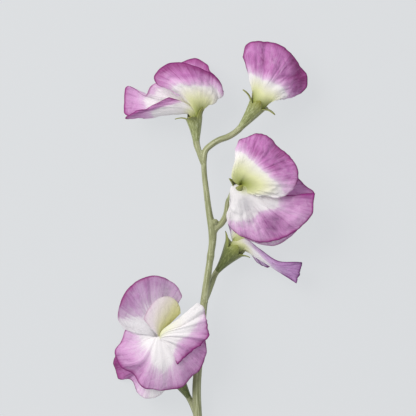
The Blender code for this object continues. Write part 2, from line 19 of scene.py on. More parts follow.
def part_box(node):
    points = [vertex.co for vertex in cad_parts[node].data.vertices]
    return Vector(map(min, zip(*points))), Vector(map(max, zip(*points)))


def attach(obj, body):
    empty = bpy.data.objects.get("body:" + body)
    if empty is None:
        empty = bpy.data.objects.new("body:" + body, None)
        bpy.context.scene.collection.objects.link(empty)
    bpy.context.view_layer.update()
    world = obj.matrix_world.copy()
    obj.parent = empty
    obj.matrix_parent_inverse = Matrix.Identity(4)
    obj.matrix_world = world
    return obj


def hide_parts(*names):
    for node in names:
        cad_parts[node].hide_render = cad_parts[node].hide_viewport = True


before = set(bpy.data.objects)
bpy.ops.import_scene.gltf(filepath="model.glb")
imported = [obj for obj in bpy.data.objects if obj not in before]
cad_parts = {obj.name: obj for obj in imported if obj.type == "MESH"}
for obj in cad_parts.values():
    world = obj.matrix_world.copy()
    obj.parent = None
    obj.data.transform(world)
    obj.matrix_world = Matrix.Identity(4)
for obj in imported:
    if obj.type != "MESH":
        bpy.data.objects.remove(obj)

MM = 0.001
ROOT = "root"
# Sockets of a Mix node that mixes two colours: the share of the second, the two colours and the result.
SHARE, FIRST, SECOND, MIXED = 0, 6, 7, 2

# A station is a point of the stem with its radius. A patch is described with the petals' colours, in Flush.
Point = tuple[float, float, float]
Station = tuple[float, float, float, float]
Patch = tuple[float, float, float, float, float]
Socket = bpy.types.NodeSocket

log = logging.getLogger("sweet_pea_spray")


class Slot(Enum):
    """Names of the material slots."""

    STEM = "stem"
    CALYX = "calyx"
    STANDARD = "standard_petal"
    WING = "wing_petal"
    KEEL = "keel_petal"


# Numbers and curves


def linear(colour: str) -> tuple[float, float, float, float]:
    """Turn an sRGB colour into linear light.

    Args:
        colour: Six hex digits after a hash sign.

    Returns:
        Red, green, blue and an alpha of one.
    """
    channels = [int(colour[i : i + 2], 16) / 255 for i in (1, 3, 5)]
    light = [c / 12.92 if c <= 0.04045 else ((c + 0.055) / 1.055) ** 2.4 for c in channels]
    return (light[0], light[1], light[2], 1.0)


def unit(vector: np.ndarray) -> np.ndarray:
    """Scale vectors, held along the last axis, to length one."""
    vector = np.asarray(vector, float)
    return vector / np.maximum(np.linalg.norm(vector, axis=-1, keepdims=True), 1e-12)


def smoothstep(low: np.ndarray, high: np.ndarray, value: np.ndarray) -> np.ndarray:
    """Rise smoothly from 0 where value is low to 1 where it is high."""
    t = np.clip((value - low) / (high - low), 0.0, 1.0)
    return t * t * (3.0 - 2.0 * t)


def chord_knots(points: np.ndarray) -> np.ndarray:
    """Share of the way along the straight steps between points at which each point lies."""
    steps = np.linalg.norm(np.diff(points[:, :3], axis=0), axis=1)
    return np.concatenate([[0.0], np.cumsum(steps)]) / steps.sum()


def hermite(points: np.ndarray, knots: np.ndarray, shares: np.ndarray) -> np.ndarray:
    """Read points from the smooth curve that passes each given point at its knot.

    Args:
        points: Rows of the curve's own points.
        knots: Rising share of the way at which each of them lies.
        shares: Shares of the way to read.

    Returns:
        One row for each share.
    """
    slopes = np.gradient(points, knots, axis=0)
    left = np.clip(np.searchsorted(knots, shares, side="right") - 1, 0, len(knots) - 2)
    width = (knots[left + 1] - knots[left])[:, None]
    t = (shares - knots[left])[:, None] / width
    start = (1 + 2 * t) * (1 - t) ** 2 * points[left] + t * (1 - t) ** 2 * width * slopes[left]
    end = t * t * (3 - 2 * t) * points[left + 1] + t * t * (t - 1) * width * slopes[left + 1]
    return start + end


def perlin(x: np.ndarray, y: np.ndarray, seed: float) -> np.ndarray:
    """Smooth noise from about -1 to 1 at each pair of x and y."""
    flat = [noise.noise(Vector((a, b, seed))) for a, b in zip(np.ravel(x), np.ravel(y))]
    return np.array(flat).reshape(np.shape(x))


def grid_normals(surface: np.ndarray) -> np.ndarray:
    """Unit normals of a grid of points, from the steps between its columns and rows."""
    return unit(np.cross(np.gradient(surface, axis=0), np.gradient(surface, axis=1)))


# Meshes and nodes


def add_node(tree: bpy.types.NodeTree, kind: str, inputs: dict | tuple = (), output: int | str = 0,
             stops: tuple = (), **settings: object) -> Socket:
    """Add a node to a material.

    Args:
        tree: The material's node tree.
        kind: The node's type without its "ShaderNode" prefix.
        inputs: For each input, in order or by name or number, the socket to link to it or the value to set.
        output: The wanted output, by name or number.
        stops: Position and sRGB colour of each stop of a colour ramp, in rising order.
        settings: The node's own settings.

    Returns:
        The wanted output.
    """
    node = tree.nodes.new("ShaderNode" + kind)
    for key, value in settings.items():
        setattr(node, key, value)
    for key, value in inputs.items() if isinstance(inputs, dict) else enumerate(inputs):
        if isinstance(value, Socket):
            tree.links.new(value, node.inputs[key])
        else:
            node.inputs[key].default_value = value
    if stops:
        elements = node.color_ramp.elements
        while len(elements) < len(stops):
            elements.new(0.5)
        for element, (position, colour) in zip(elements, stops):
            element.position = position
            element.color = linear(colour)
    return node.outputs[output]


def new_material(name: str) -> tuple[bpy.types.Material, bpy.types.NodeTree, bpy.types.Node, bpy.types.Node]:
    """Make a node material.

    Args:
        name: The material's name.

    Returns:
        The material, its node tree, its Principled BSDF and its output node.
    """
    material = bpy.data.materials.new(name)
    material.use_nodes = True
    tree = material.node_tree
    return material, tree, tree.nodes["Principled BSDF"], tree.nodes["Material Output"]


def new_object(name: str, data: bpy.types.ID) -> bpy.types.Object:
    """Make an object of a mesh, light or camera and link it to the scene.

    Args:
        name: The new object's name.
        data: The mesh, light or camera.

    Returns:
        The new object.
    """
    obj = bpy.data.objects.new(name, data)
    bpy.context.scene.collection.objects.link(obj)
    return obj


def finished_mesh(name: str, bm: bmesh.types.BMesh) -> bpy.types.Mesh:
    """Turn a mesh that was being built into one that an object can hold.

    Args:
        name: The new mesh's name.
        bm: The mesh being built, which is freed.

    Returns:
        The new mesh.
    """
    mesh = bpy.data.meshes.new(name)
    bm.to_mesh(mesh)
    bm.free()
    return mesh


def sheet_object(name: str, middle: np.ndarray, thickness: np.ndarray, marks: dict[str, np.ndarray],
                 uv: np.ndarray) -> bpy.types.Object:
    """Make a closed thin sheet round a grid of points.

    Args:
        name: The new object's name.
        middle: Points of the sheet's middle surface by column and row, in millimetres.
        thickness: Thickness at each of them.
        marks: Named numbers at each point, which the material reads.
        uv: Two texture coordinates at each point.

    Returns:
        The new object, linked to the scene.
    """
    columns, rows = middle.shape[:2]
    half = grid_normals(middle) * thickness[..., None] / 2
    points = np.concatenate([(middle + half).reshape(-1, 3), (middle - half).reshape(-1, 3)]) * MM
    index = np.arange(columns * rows).reshape(columns, rows)
    corners = [index[:-1, :-1], index[1:, :-1], index[1:, 1:], index[:-1, 1:]]
    quads = np.stack(corners, axis=-1).reshape(-1, 4)
    rim = np.concatenate([index[:-1, 0], index[-1, :-1], index[:0:-1, -1], index[0, :0:-1]])
    ahead = np.roll(rim, -1)
    back = columns * rows
    walls = np.stack([rim, rim + back, ahead + back, ahead], axis=-1)
    faces = np.concatenate([quads, quads[:, ::-1] + back, walls])
    mesh = bpy.data.meshes.new(name)
    mesh.from_pydata(points, [], faces.tolist())
    for mark, values in marks.items():
        attribute = mesh.attributes.new(mark, "FLOAT", "POINT")
        attribute.data.foreach_set("value", np.tile(values.ravel(), 2).astype(np.float32))
    at_corner = np.zeros(len(mesh.loops), np.int32)
    mesh.loops.foreach_get("vertex_index", at_corner)
    both_sides = np.tile(uv.reshape(-1, 2), (2, 1))
    layer = mesh.uv_layers.new(name="veins")
    layer.data.foreach_set("uv", both_sides[at_corner].astype(np.float32).ravel())
    mesh.shade_smooth()
    return new_object(name, mesh)


def stand_for(obj: bpy.types.Object, node: str, material: bpy.types.Material) -> None:
    """Dress a piece, let it ride on the body and stand for its CAD node.

    Args:
        obj: The finished piece.
        node: The CAD node that it stands for.
        material: Its material.
    """
    obj.data.materials.clear()
    obj.data.materials.append(material)
    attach(obj, ROOT)
    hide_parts(node)
    low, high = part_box(node)
    seen = [obj.matrix_world @ vertex.co for vertex in obj.data.vertices]
    out = max(max(max(low[i] - p[i], p[i] - high[i]) for i in range(3)) for p in seen)
    log.info("%s: %d faces, %.1f mm out of its CAD box", obj.name, len(obj.data.polygons), out / MM)


# Finishes


@dataclass(frozen=True)
class PetalTissue:
    """Fresh petal tissue: thin, soft, satin cells that light passes through.

    The eye sees a green-cream base, a white middle and a lilac blade. The colour runs out in streaks,
    fine darker veins fan towards the margin, the creases hold a deeper purple that is partly the petal's
    own colour and partly painted shade of the pleat folds, and a dark line follows the margin. Spacings,
    runs, widths and sizes are millimetres on the petal. Real cells are some 0.04 mm wide, too fine to
    show, so the mottle that they give is drawn coarser.
    """

    name: str
    throat: str = "#acb656"
    cream: str = "#eef0c4"
    white: str = "#fbf9fa"
    blush: str = "#efd9ee"
    lilac: str = "#e9bce5"
    orchid: str = "#d791cf"
    deep: str = "#9f4689"
    band: str = "#b5559c"
    margin: str = "#8c2375"
    glow: float = 0.4
    vein_spacing: float = 0.55
    vein_run: float = 11.0
    crease_spacing: float = 1.2
    crease_run: float = 18.0
    blotch_size: float = 3.2
    mottle_size: float = 0.45
    patches_per_mm: float = 0.22
    creasing: float = 0.38
    paling: float = 0.25
    margin_width: float = 0.95
    margin_depth: float = 0.9
    band_width: float = 2.2
    band_depth: float = 0.75
    relief_height: float = 0.2

    def material(self) -> bpy.types.Material:
        """Make the material.

        Returns:
            The new material.
        """
        material, tree, shader, output = new_material(self.name)
        add = partial(add_node, tree)
        uv = add("UVMap", uv_map="veins")
        marks = ("green", "tint", "stain_and_shade", "edge", "fan")
        green, tint, stain_and_shade, edge, fan = (add("Attribute", output="Fac", attribute_name=mark) for mark in marks)
        veins = self.streaks(tree, uv, self.vein_spacing, self.vein_run, 0.0)
        creases = self.streaks(tree, uv, self.crease_spacing, self.crease_run, 40.0)
        cells = add("TexNoise", {"Vector": uv, "Scale": 1.0 / self.mottle_size, "Detail": 2.0})
        blotches = add("TexNoise", {
            "Vector": uv, "Scale": 1.0 / self.blotch_size, "Detail": 3.0, "Roughness": 0.55,
            "Distortion": 0.8,
        })
        patches = add("TexNoise", {"Vector": uv, "Scale": self.patches_per_mm, "Detail": 1.0})
        uneven = add("Math", (blotches, 0.6, creases), operation="MULTIPLY_ADD")
        uneven = add("Math", (veins, 0.5, uneven), operation="MULTIPLY_ADD")
        held = self.held_colour(tree, tint, uneven)
        colour = self.blade_colour(tree, green, held)
        # Each layer lies over the ones before it.
        layers = (
            (self.pale_patches(tree, held, stain_and_shade, blotches), self.blush),
            # The deep purple layer is partly painted shade, in the creases and in the stains that stand for
            # folds.
            (self.deep_and_shaded_patches(tree, held, stain_and_shade, creases, blotches, uneven), self.deep),
            (self.vein_lines(tree, held, veins), self.deep),
            *self.margin_lines(tree, add("Math", (tint, stain_and_shade), operation="ADD"), edge, patches),
        )
        for share, layer in layers:
            mixed = {SHARE: share, FIRST: colour, SECOND: linear(layer)}
            colour = add("Mix", mixed, output=MIXED, data_type="RGBA")
        shade = add("MapRange", (cells, 0.3, 0.7, 0.94, 1.04))
        colour = add("HueSaturation", {"Color": colour, "Value": shade})
        relief = add("Math", (cells, 0.3, uneven), operation="MULTIPLY_ADD")
        relief = add("Math", (blotches, 3.0, relief), operation="MULTIPLY_ADD")
        # The relief is shallow where the veins crowd together.
        depth = add("MapRange", (fan, 0.15, 0.7, 0.08, 0.8))
        bump = add("Bump", {"Strength": depth, "Distance": self.relief_height * MM, "Height": relief})
        tree.links.new(colour, shader.inputs["Base Color"])
        tree.links.new(bump, shader.inputs["Normal"])
        shader.inputs["Roughness"].default_value = 0.6
        shader.inputs["Specular IOR Level"].default_value = 0.25
        shader.inputs["Sheen Weight"].default_value = 0.06
        lit_through = add("BsdfTranslucent", {"Color": colour, "Normal": bump})
        tissue = add("MixShader", (self.glow, shader.outputs[0], lit_through))
        tree.links.new(tissue, output.inputs["Surface"])
        return material

    @staticmethod
    def streaks(tree: bpy.types.NodeTree, uv: Socket, spacing: float, run: float, offset: float) -> Socket:
        """Add long thin noise along the petal.

        Args:
            tree: The material's node tree.
            uv: Millimetres across and along the petal.
            spacing: Millimetres from one streak to the next at the rim.
            run: Millimetres that a streak runs.
            offset: Where in the noise to start, so that two sets differ.

        Returns:
            The noise, from 0 to 1.
        """
        stretched = add_node(tree, "Mapping", {
            "Vector": uv, "Location": (offset, offset, 0.0), "Scale": (1.0 / spacing, 1.0 / run, 1.0),
        })
        return add_node(tree, "TexNoise", {
            "Vector": stretched, "Scale": 1.0, "Detail": 3.0, "Roughness": 0.6, "Distortion": 0.25,
        })

    @staticmethod
    def held_colour(tree: bpy.types.NodeTree, tint: Socket, uneven: Socket) -> Socket:
        """Let the colour reach further down the streaks, but not into tissue that has none.

        Args:
            tree: The material's node tree.
            tint: How much colour the petal has there.
            uneven: The sum of the patterns, about 1.05 in the middle.

        Returns:
            How much colour the tissue holds, from 0 to 1.
        """
        add = partial(add_node, tree)
        swing = add("Math", (tint, 0.25, 0.35), operation="MULTIPLY_ADD")
        off_middle = add("Math", (uneven, 1.05), operation="SUBTRACT")
        shifted = add("Math", (off_middle, swing, tint), operation="MULTIPLY_ADD")
        coloured = add("MapRange", (tint, 0.0, 0.2, 0.0, 1.0))
        return add("Math", (shifted, coloured), operation="MULTIPLY")

    def blade_colour(self, tree: bpy.types.NodeTree, green: Socket, held: Socket) -> Socket:
        """Lay the lilac over the green, cream and white of the base.

        Args:
            tree: The material's node tree.
            green: How green the base is.
            held: How much colour the tissue holds.

        Returns:
            The colour.
        """
        add = partial(add_node, tree)
        base = add("ValToRGB", (green,), stops=((0.0, self.white), (0.5, self.cream), (1.0, self.throat)))
        pink = add("ValToRGB", (held,), stops=(
            (0.0, self.white), (0.22, self.blush), (0.5, self.lilac), (0.85, self.orchid),
        ))
        covered = add("MapRange", (held, 0.02, 0.25, 0.0, 1.0))
        return add("Mix", {SHARE: covered, FIRST: base, SECOND: pink}, output=MIXED, data_type="RGBA")

    def pale_patches(self, tree: bpy.types.NodeTree, held: Socket, stain_and_shade: Socket, blotches: Socket) -> Socket:
        """Find the paler patches of the coloured tissue that has neither stain nor painted shade.

        Args:
            tree: The material's node tree.
            held: How much colour the tissue holds.
            stain_and_shade: How stained it is, painted shade included.
            blotches: The broad blotches.

        Returns:
            How pale each point is.
        """
        add = partial(add_node, tree)
        plain = add("Math", (held, stain_and_shade), operation="SUBTRACT", use_clamp=True)
        pale = add("MapRange", (blotches, 0.5, 0.3, 0.0, self.paling))
        return add("Math", (pale, plain), operation="MULTIPLY")

    def deep_and_shaded_patches(self, tree: bpy.types.NodeTree, held: Socket, stain_and_shade: Socket, creases: Socket,
                     blotches: Socket, uneven: Socket) -> Socket:
        """Find where deep purple lies in the creases, partly as painted shade of the pleat folds, and soaks
        the stained patches, some of which are painted shade where a fold turns away.

        Args:
            tree: The material's node tree.
            held: How much colour the tissue holds.
            stain_and_shade: How stained it is, painted shade included.
            creases: The broad streaks.
            blotches: The broad blotches.
            uneven: The sum of the patterns.

        Returns:
            How deep the purple and its painted shade are, from 0 to 1.
        """
        add = partial(add_node, tree)
        # The purple in the creases is partly the petal's own deeper colour and partly painted shade of the
        # pleat folds.
        folds = add("Math", (creases, 0.65), operation="MULTIPLY")
        folds = add("Math", (blotches, 0.35, folds), operation="MULTIPLY_ADD")
        creased = add("MapRange", (folds, 0.5, 0.62, 0.0, self.creasing))
        coloured = add("MapRange", (held, 0.35, 1.0, 0.0, 1.0))
        own = add("Math", (creased, coloured), operation="MULTIPLY")
        patchy = add("MapRange", (uneven, 0.75, 1.25, 0.6, 1.2))
        # Stains soak the tissue deeper; on some petals they are painted shade where a fold turns away.
        soaked_stain_and_shade = add("Math", (stain_and_shade, patchy), operation="MULTIPLY")
        return add("Math", (own, soaked_stain_and_shade), operation="ADD", use_clamp=True)

    @staticmethod
    def vein_lines(tree: bpy.types.NodeTree, held: Socket, veins: Socket) -> Socket:
        """Draw a vein wherever the fine streaks cross their middle value.

        Args:
            tree: The material's node tree.
            held: How much colour the tissue holds.
            veins: The fine streaks.

        Returns:
            How dark the vein is.
        """
        add = partial(add_node, tree)
        off_middle = add("Math", (veins, 0.5), operation="SUBTRACT")
        off_middle = add("Math", (off_middle,), operation="ABSOLUTE")
        line = add("MapRange", (off_middle, 0.0, 0.035, 1.0, 0.0))
        strength = add("Math", (held, 0.25, 0.07), operation="MULTIPLY_ADD")
        return add("Math", (line, strength), operation="MULTIPLY")

    def margin_lines(self, tree: bpy.types.NodeTree, colouring: Socket, edge: Socket,
                     patches: Socket) -> tuple[tuple[Socket, str], ...]:
        """Draw the soft band and the dark line that follow the margin of coloured tissue.

        Args:
            tree: The material's node tree.
            colouring: How much colour, stain and painted shade the petal has there.
            edge: Millimetres to the margin.
            patches: Broad noise that breaks both up.

        Returns:
            The share of each and its colour.
        """
        add = partial(add_node, tree)
        broken = add("MapRange", (patches, 0.3, 0.65, 0.3, 1.0))
        stained = add("Math", (colouring, broken), operation="MULTIPLY")
        band = add("MapRange", (edge, 0.2, self.band_width, self.band_depth, 0.0))
        band_stain = add("MapRange", (stained, 0.25, 0.8, 0.0, 1.0))
        line = add("MapRange", (edge, 0.1, self.margin_width, self.margin_depth, 0.0))
        line_stain = add("MapRange", (stained, 0.03, 0.4, 0.0, 1.0))
        return (
            (add("Math", (band, band_stain), operation="MULTIPLY"), self.band),
            (add("Math", (line, line_stain), operation="MULTIPLY"), self.margin),
        )


@dataclass(frozen=True)
class GreenSkin:
    """Living green epidermis with a waxy bloom.

    The eye sees pale grey-green skin with darker and lighter streaks along its length, and fresher green
    where the skin is thin. Spacings, runs and sizes are millimetres on the skin.
    """

    name: str
    dark: str
    body: str
    bloom: str
    tip: str
    streak_spacing: float = 0.5
    streak_run: float = 9.0
    fleck_size: float = 0.625
    relief_height: float = 0.1
    glow: float = 0.12

    def material(self) -> bpy.types.Material:
        """Make the material.

        Returns:
            The new material.
        """
        material, tree, shader, output = new_material(self.name)
        add = partial(add_node, tree)
        grain = add("Attribute", output="Vector", attribute_name="grain")
        tip = add("Attribute", output="Fac", attribute_name="tip")
        scale = (1.0 / self.streak_spacing, 1.0 / self.streak_spacing, 1.0 / self.streak_run)
        stretched = add("Mapping", {"Vector": grain, "Scale": scale})
        streaks = add("TexNoise", {
            "Vector": stretched, "Scale": 1.0, "Detail": 4.0, "Roughness": 0.65, "Distortion": 0.3,
        })
        flecks = add("TexNoise", {"Vector": grain, "Scale": 1.0 / self.fleck_size, "Detail": 2.0})
        spots = add("MapRange", (flecks, 0.6, 0.7, 0.0, 0.7))
        colour = add("ValToRGB", (streaks,), stops=((0.3, self.dark), (0.5, self.body), (0.68, self.bloom)))
        for share, layer in ((spots, self.dark), (tip, self.tip)):
            mixed = {SHARE: share, FIRST: colour, SECOND: linear(layer)}
            colour = add("Mix", mixed, output=MIXED, data_type="RGBA")
        bump = add("Bump", {"Strength": 0.5, "Distance": self.relief_height * MM, "Height": streaks})
        tree.links.new(colour, shader.inputs["Base Color"])
        tree.links.new(bump, shader.inputs["Normal"])
        shader.inputs["Roughness"].default_value = 0.5
        shader.inputs["Sheen Weight"].default_value = 0.15
        skin = add("MixShader", (self.glow, shader.outputs[0], add("BsdfTranslucent", {"Color": colour})))
        tree.links.new(skin, output.inputs["Surface"])
        return material


@dataclass(frozen=True)
class OpalGlass:
    """Opal glass of a light table, which gives the eye an even pale ground with hardly a shadow on it."""

    name: str = "opal_glass"
    glass: str = "#484848"
    colour: str = "#f2f5f8"
    glow: float = 0.71

    def material(self) -> bpy.types.Material:
        """Make the material.

        Returns:
            The new material.
        """
        material, _, shader, _ = new_material(self.name)
        shader.inputs["Base Color"].default_value = linear(self.glass)
        shader.inputs["Roughness"].default_value = 0.8
        shader.inputs["Specular IOR Level"].default_value = 0.1
        shader.inputs["Emission Color"].default_value = linear(self.colour)
        shader.inputs["Emission Strength"].default_value = self.glow
        return material


STANDARD = PetalTissue(name="standard_petal_tissue")
FADED_STANDARD = PetalTissue(
    name="faded_standard_petal_tissue", white="#e9e7ea", blush="#d4c1d5", lilac="#cda8ce", orchid="#c283bc",
    deep="#8f4488", creasing=0.3,
)
WING = PetalTissue(
    name="wing_petal_tissue", orchid="#d299cc", deep="#9b4f93", band="#bb4ba4", margin="#981d7e",
    creasing=0.35,
)
LAVENDER_WING = PetalTissue(
    name="lavender_wing_petal_tissue", blush="#ecdaf0", lilac="#e0c2e6", orchid="#cfa2d4", deep="#94609c",
    band="#a468a8", margin="#7a2f7c", creasing=0.25,
)
KEEL = PetalTissue(
    name="keel_petal_tissue", throat="#bfbf6c", cream="#d2cf9f", white="#dfd6da", blush="#dfcedb",
    lilac="#d8bfd2", orchid="#cfa9c6", glow=0.25,
)
STEM_SKIN = GreenSkin(name="stem_epidermis", dark="#6c7048", body="#979b70", bloom="#c0c3a0", tip="#949c5a")
CALYX_SKIN = GreenSkin(
    name="calyx_epidermis", dark="#687140", body="#969e68", bloom="#bdc39c", tip="#8c8d2e",
)
DARK_CALYX_SKIN = GreenSkin(
    name="shaded_calyx_epidermis", dark="#454f24", body="#636d37", bloom="#8a935b", tip="#959c4c",
)


# Blossoms


@dataclass(frozen=True)
class Ruffle:
    """How a blade leaves its smooth surface, in millimetres.

    wave is the height of the waves at the margin and waves their number. pleat is the height of the fine
    folds that run from claw to margin and pleats their number. crumple is the height of the small dents.
    nibble is how far the margin runs in and out. The pleats and dents start at onset, a share of the way
    from claw to margin, and have their full height fade_in further on.
    """

    wave: float = 0.5
    waves: float = 3.0
    pleat: float = 0.14
    pleats: float = 16.0
    crumple: float = 0.35
    nibble: float = 0.3
    onset: float = 0.3
    fade_in: float = 0.35


@dataclass(frozen=True)
class Flush:
    """Where a petal takes its colour.

    green, start and full are shares of the way from claw to margin: where the green of the base ends, and
    where the lilac starts and is full. depth is how full it gets, from 0 to 1. Each is listed at even
    steps from one side edge to the other. A stain is a deeper patch, most of them the petal's own and
    some painted shade where the blade folds away or another petal shades it, and a fade a paler one:
    across, along, half its width, half its length and its strength.
    """

    green: tuple[float, ...] = (0.4,)
    start: tuple[float, ...] = (0.35,)
    full: tuple[float, ...] = (0.85,)
    depth: tuple[float, ...] = (1.0,)
    stains_and_shade: tuple[Patch, ...] = ()
    fades: tuple[Patch, ...] = ()

    def marks(self, across: np.ndarray, along: np.ndarray) -> dict[str, np.ndarray]:
        """Work out the colour's marks on the petal.

        Args:
            across: Each point's share of the way from one side edge to the other.
            along: Its share of the way from claw to margin.

        Returns:
            The greenness, the tint and the stain with its painted shade at each point, from 0 to 1.
        """
        green, start, full, depth = (
            np.interp(across, np.linspace(0, 1, len(values)), values)
            for values in (self.green, self.start, self.full, self.depth)
        )
        tint = depth * smoothstep(start, full, along) * (1.0 - self.patches(self.fades, across, along))
        return {
            "green": 1.0 - smoothstep(0.1 * green, green, along),
            "tint": tint,
            # Some stains are painted shade of folds and of petals that lie over others.
            "stain_and_shade": self.patches(self.stains_and_shade, across, along),
        }

    @staticmethod
    def patches(patches: tuple[Patch, ...], across: np.ndarray, along: np.ndarray) -> np.ndarray:
        """Add up soft patches.

        Args:
            patches: The patches.
            across: Each point's share of the way from one side edge to the other.
            along: Its share of the way from claw to margin.

        Returns:
            Their sum at each point, held between 0 and 1.
        """
        depth = np.zeros_like(across)
        for middle, height, wide, long, strength in patches:
            depth += strength * np.exp(-(((across - middle) / wide) ** 2) - ((along - height) / long) ** 2)
        return np.clip(depth, 0.0, 1.0)


@dataclass(frozen=True)
class Stance:
    """Where a blossom sits and which way it faces.

    throat is where its petals open, axis the way its calyx points and back the side of its standard. The
    calyx mouth lies rise below the throat.
    """

    throat: Point
    axis: Point
    back: Point
    rise: float

    def directions(self) -> tuple[np.ndarray, np.ndarray, np.ndarray]:
        """Give the blossom's own directions.

        Returns:
            The axis, the back square to it and the side square to both, as unit vectors.
        """
        axis = unit(self.axis)
        back = np.asarray(self.back, float)
        back = unit(back - axis * back.dot(axis))
        return axis, back, np.cross(axis, back)

    def mouth(self) -> np.ndarray:
        """Give the middle of the calyx mouth."""
        return np.array(self.throat) - unit(self.axis) * self.rise

    def around(self, degrees: float) -> np.ndarray:
        """Give the direction at an angle round the axis, from the back."""
        _, back, side = self.directions()
        return back * np.cos(np.radians(degrees)) + side * np.sin(np.radians(degrees))


@dataclass(frozen=True)
class Petal:
    """One petal, from its claw in the calyx to its margin.

    turn is the middle of its claw in degrees round the calyx from the back, and arc the angle that the
    claw fills. ribs run from the claw to the margin, in order across the petal, and are measured from the
    blossom's throat. The claw is ring from the blossom's axis at claw_rise above the calyx mouth, and
    claw_taper of that at its end, claw_depth below the mouth. The blade thins to margin_thickness over the
    last thin_width. It stays above rest, and cushion is how gently it settles there. Each petal has a seed
    of its own, which starts its patterns pattern_step further on, so no two look alike.
    """

    node: str
    turn: float
    arc: float
    tissue: PetalTissue
    slot: Slot
    ribs: tuple[tuple[Point, ...], ...]
    ruffle: Ruffle = Ruffle()
    flush: Flush = Flush()
    ring: float = 2.7
    seed: float = 0.0
    columns: int = 96
    rows: int = 64
    claw_depth: float = 2.0
    claw_rise: float = 1.6
    claw_taper: float = 0.7
    thickness: float = 0.3
    margin_thickness: float = 0.08
    thin_width: float = 1.2
    rest: float = 0.25
    cushion: float = 0.4
    pattern_step: float = 30.0

    def smooth_surface(self, stance: Stance) -> np.ndarray:
        """Lay the petal's middle surface through its ribs.

        Args:
            stance: The blossom's place.

        Returns:
            Points by column and row, in millimetres.
        """
        axis, back, side = stance.directions()
        ribs = np.array(self.ribs, float) + stance.throat
        spread = chord_knots(ribs[:, -1])
        angle = np.radians(self.turn)
        sideways = side * np.cos(angle) - back * np.sin(angle)
        way = np.sign(sideways.dot(ribs[-1, 0] - ribs[0, 0]))
        shares = np.linspace(0.0, 1.0, self.rows)
        along_ribs = []
        for rib, share in zip(ribs, spread):
            radial = stance.around(self.turn + way * (share - 0.5) * self.arc)
            foot = stance.mouth() - axis * self.claw_depth + radial * self.ring * self.claw_taper
            lip = stance.mouth() + axis * self.claw_rise + radial * self.ring
            route = np.vstack([foot, lip, rib])
            along_ribs.append(hermite(route, chord_knots(route), shares))
        across = np.linspace(0.0, 1.0, self.columns)
        return np.stack([hermite(row, spread, across) for row in np.stack(along_ribs, axis=1)], axis=1)

    def distance_to_margin(self, surface: np.ndarray) -> np.ndarray:
        """Measure how far each point is from the nearest free edge, with the claw's end left out.

        Args:
            surface: Points by column and row.

        Returns:
            Millimetres at each point.
        """
        down = np.linalg.norm(np.diff(surface, axis=1), axis=2)
        to_rim = np.cumsum(down[:, ::-1], axis=1)[:, ::-1]
        to_rim = np.concatenate([to_rim, np.zeros((self.columns, 1))], axis=1)
        over = np.linalg.norm(np.diff(surface, axis=0), axis=2)
        first = np.concatenate([np.zeros((1, self.rows)), np.cumsum(over, axis=0)])
        return np.minimum(to_rim, np.minimum(first, first[-1] - first))

    def coordinates(self) -> tuple[np.ndarray, np.ndarray]:
        """Give each point's share of the way across and along the petal."""
        return np.meshgrid(np.linspace(0, 1, self.columns), np.linspace(0, 1, self.rows), indexing="ij")

    def fold_height(self, across: np.ndarray, along: np.ndarray) -> np.ndarray:
        """Work out how far the waves, pleats and dents lift the blade.

        Args:
            across: Each point's share of the way across the petal.
            along: Its share of the way along it.

        Returns:
            Millimetres at each point.
        """
        fold = self.ruffle
        # Two sets of waves that don't keep step leave the margin irregular.
        shift = self.seed * 0.37
        wave = np.sin(2 * np.pi * (fold.waves * across + shift)) + 0.6 * np.sin(
            2 * np.pi * (fold.waves * 1.73 * across + 2.3 * shift + 0.2 * along)
        )
        height = fold.wave * 0.6 * wave * along**2.5
        # The pleats have sharp crests where the noise crosses zero, and crowd together in places.
        crowd = perlin(across * 5.0, along * 0.8, self.seed + 3.1)
        crests = perlin(across * fold.pleats + 0.8 * crowd, along * 1.8, self.seed + 9.7)
        pleats = 1.0 - 2.0 * np.abs(2.0 * crests)
        folded = smoothstep(fold.onset, fold.onset + fold.fade_in, along)
        height += fold.pleat * pleats * folded
        dents = perlin(across * 6.0, along * 5.0, self.seed)
        dents = dents + 0.35 * perlin(across * 17.0, along * 12.0, self.seed + 5.3)
        return height + fold.crumple * dents * folded

    def folded_surface(self, stance: Stance) -> tuple[np.ndarray, np.ndarray]:
        """Give the blade its folds and its uneven margin, and hold it above the table.

        Args:
            stance: The blossom's place.

        Returns:
            The folded points and each point's distance to the margin.
        """
        surface = self.smooth_surface(stance)
        margin = self.distance_to_margin(surface)
        across, along = self.coordinates()
        surface = surface + grid_normals(surface) * self.fold_height(across, along)[..., None]
        still = np.zeros_like(along)
        notch = perlin(across * 7.0, still + 4.4, self.seed) + 0.5 * perlin(across * 23.0, still, self.seed)
        outward = unit(np.gradient(surface, axis=1))
        surface = surface + outward * (self.ruffle.nibble * notch * smoothstep(0.55, 1.0, along))[..., None]
        above = (surface[..., 2] - self.rest) / self.cushion
        surface[..., 2] = self.rest + self.cushion * np.logaddexp(0.0, above)
        return surface, margin

    def build(self, stance: Stance) -> None:
        """Make the petal where its blossom stands.

        Args:
            stance: The blossom's place.
        """
        surface, margin = self.folded_surface(stance)
        across, along = self.coordinates()
        breadth = np.linalg.norm(np.diff(surface[:, -1], axis=0), axis=1).sum()
        length = np.linalg.norm(np.diff(surface[self.columns // 2], axis=0), axis=1).sum()
        uv = np.stack([across * breadth + self.pattern_step * self.seed, along * length], axis=-1)
        thick = smoothstep(0.0, self.thin_width, margin)
        thickness = self.margin_thickness + (self.thickness - self.margin_thickness) * thick
        fan = np.linalg.norm(np.gradient(surface, axis=0), axis=2) * (self.columns - 1) / breadth
        marks = {**self.flush.marks(across, along), "edge": margin, "fan": np.clip(fan, 0.0, 1.0)}
        obj = sheet_object(self.node + "_blade", surface, thickness, marks, uv)
        stand_for(obj, self.node, self.tissue.material())


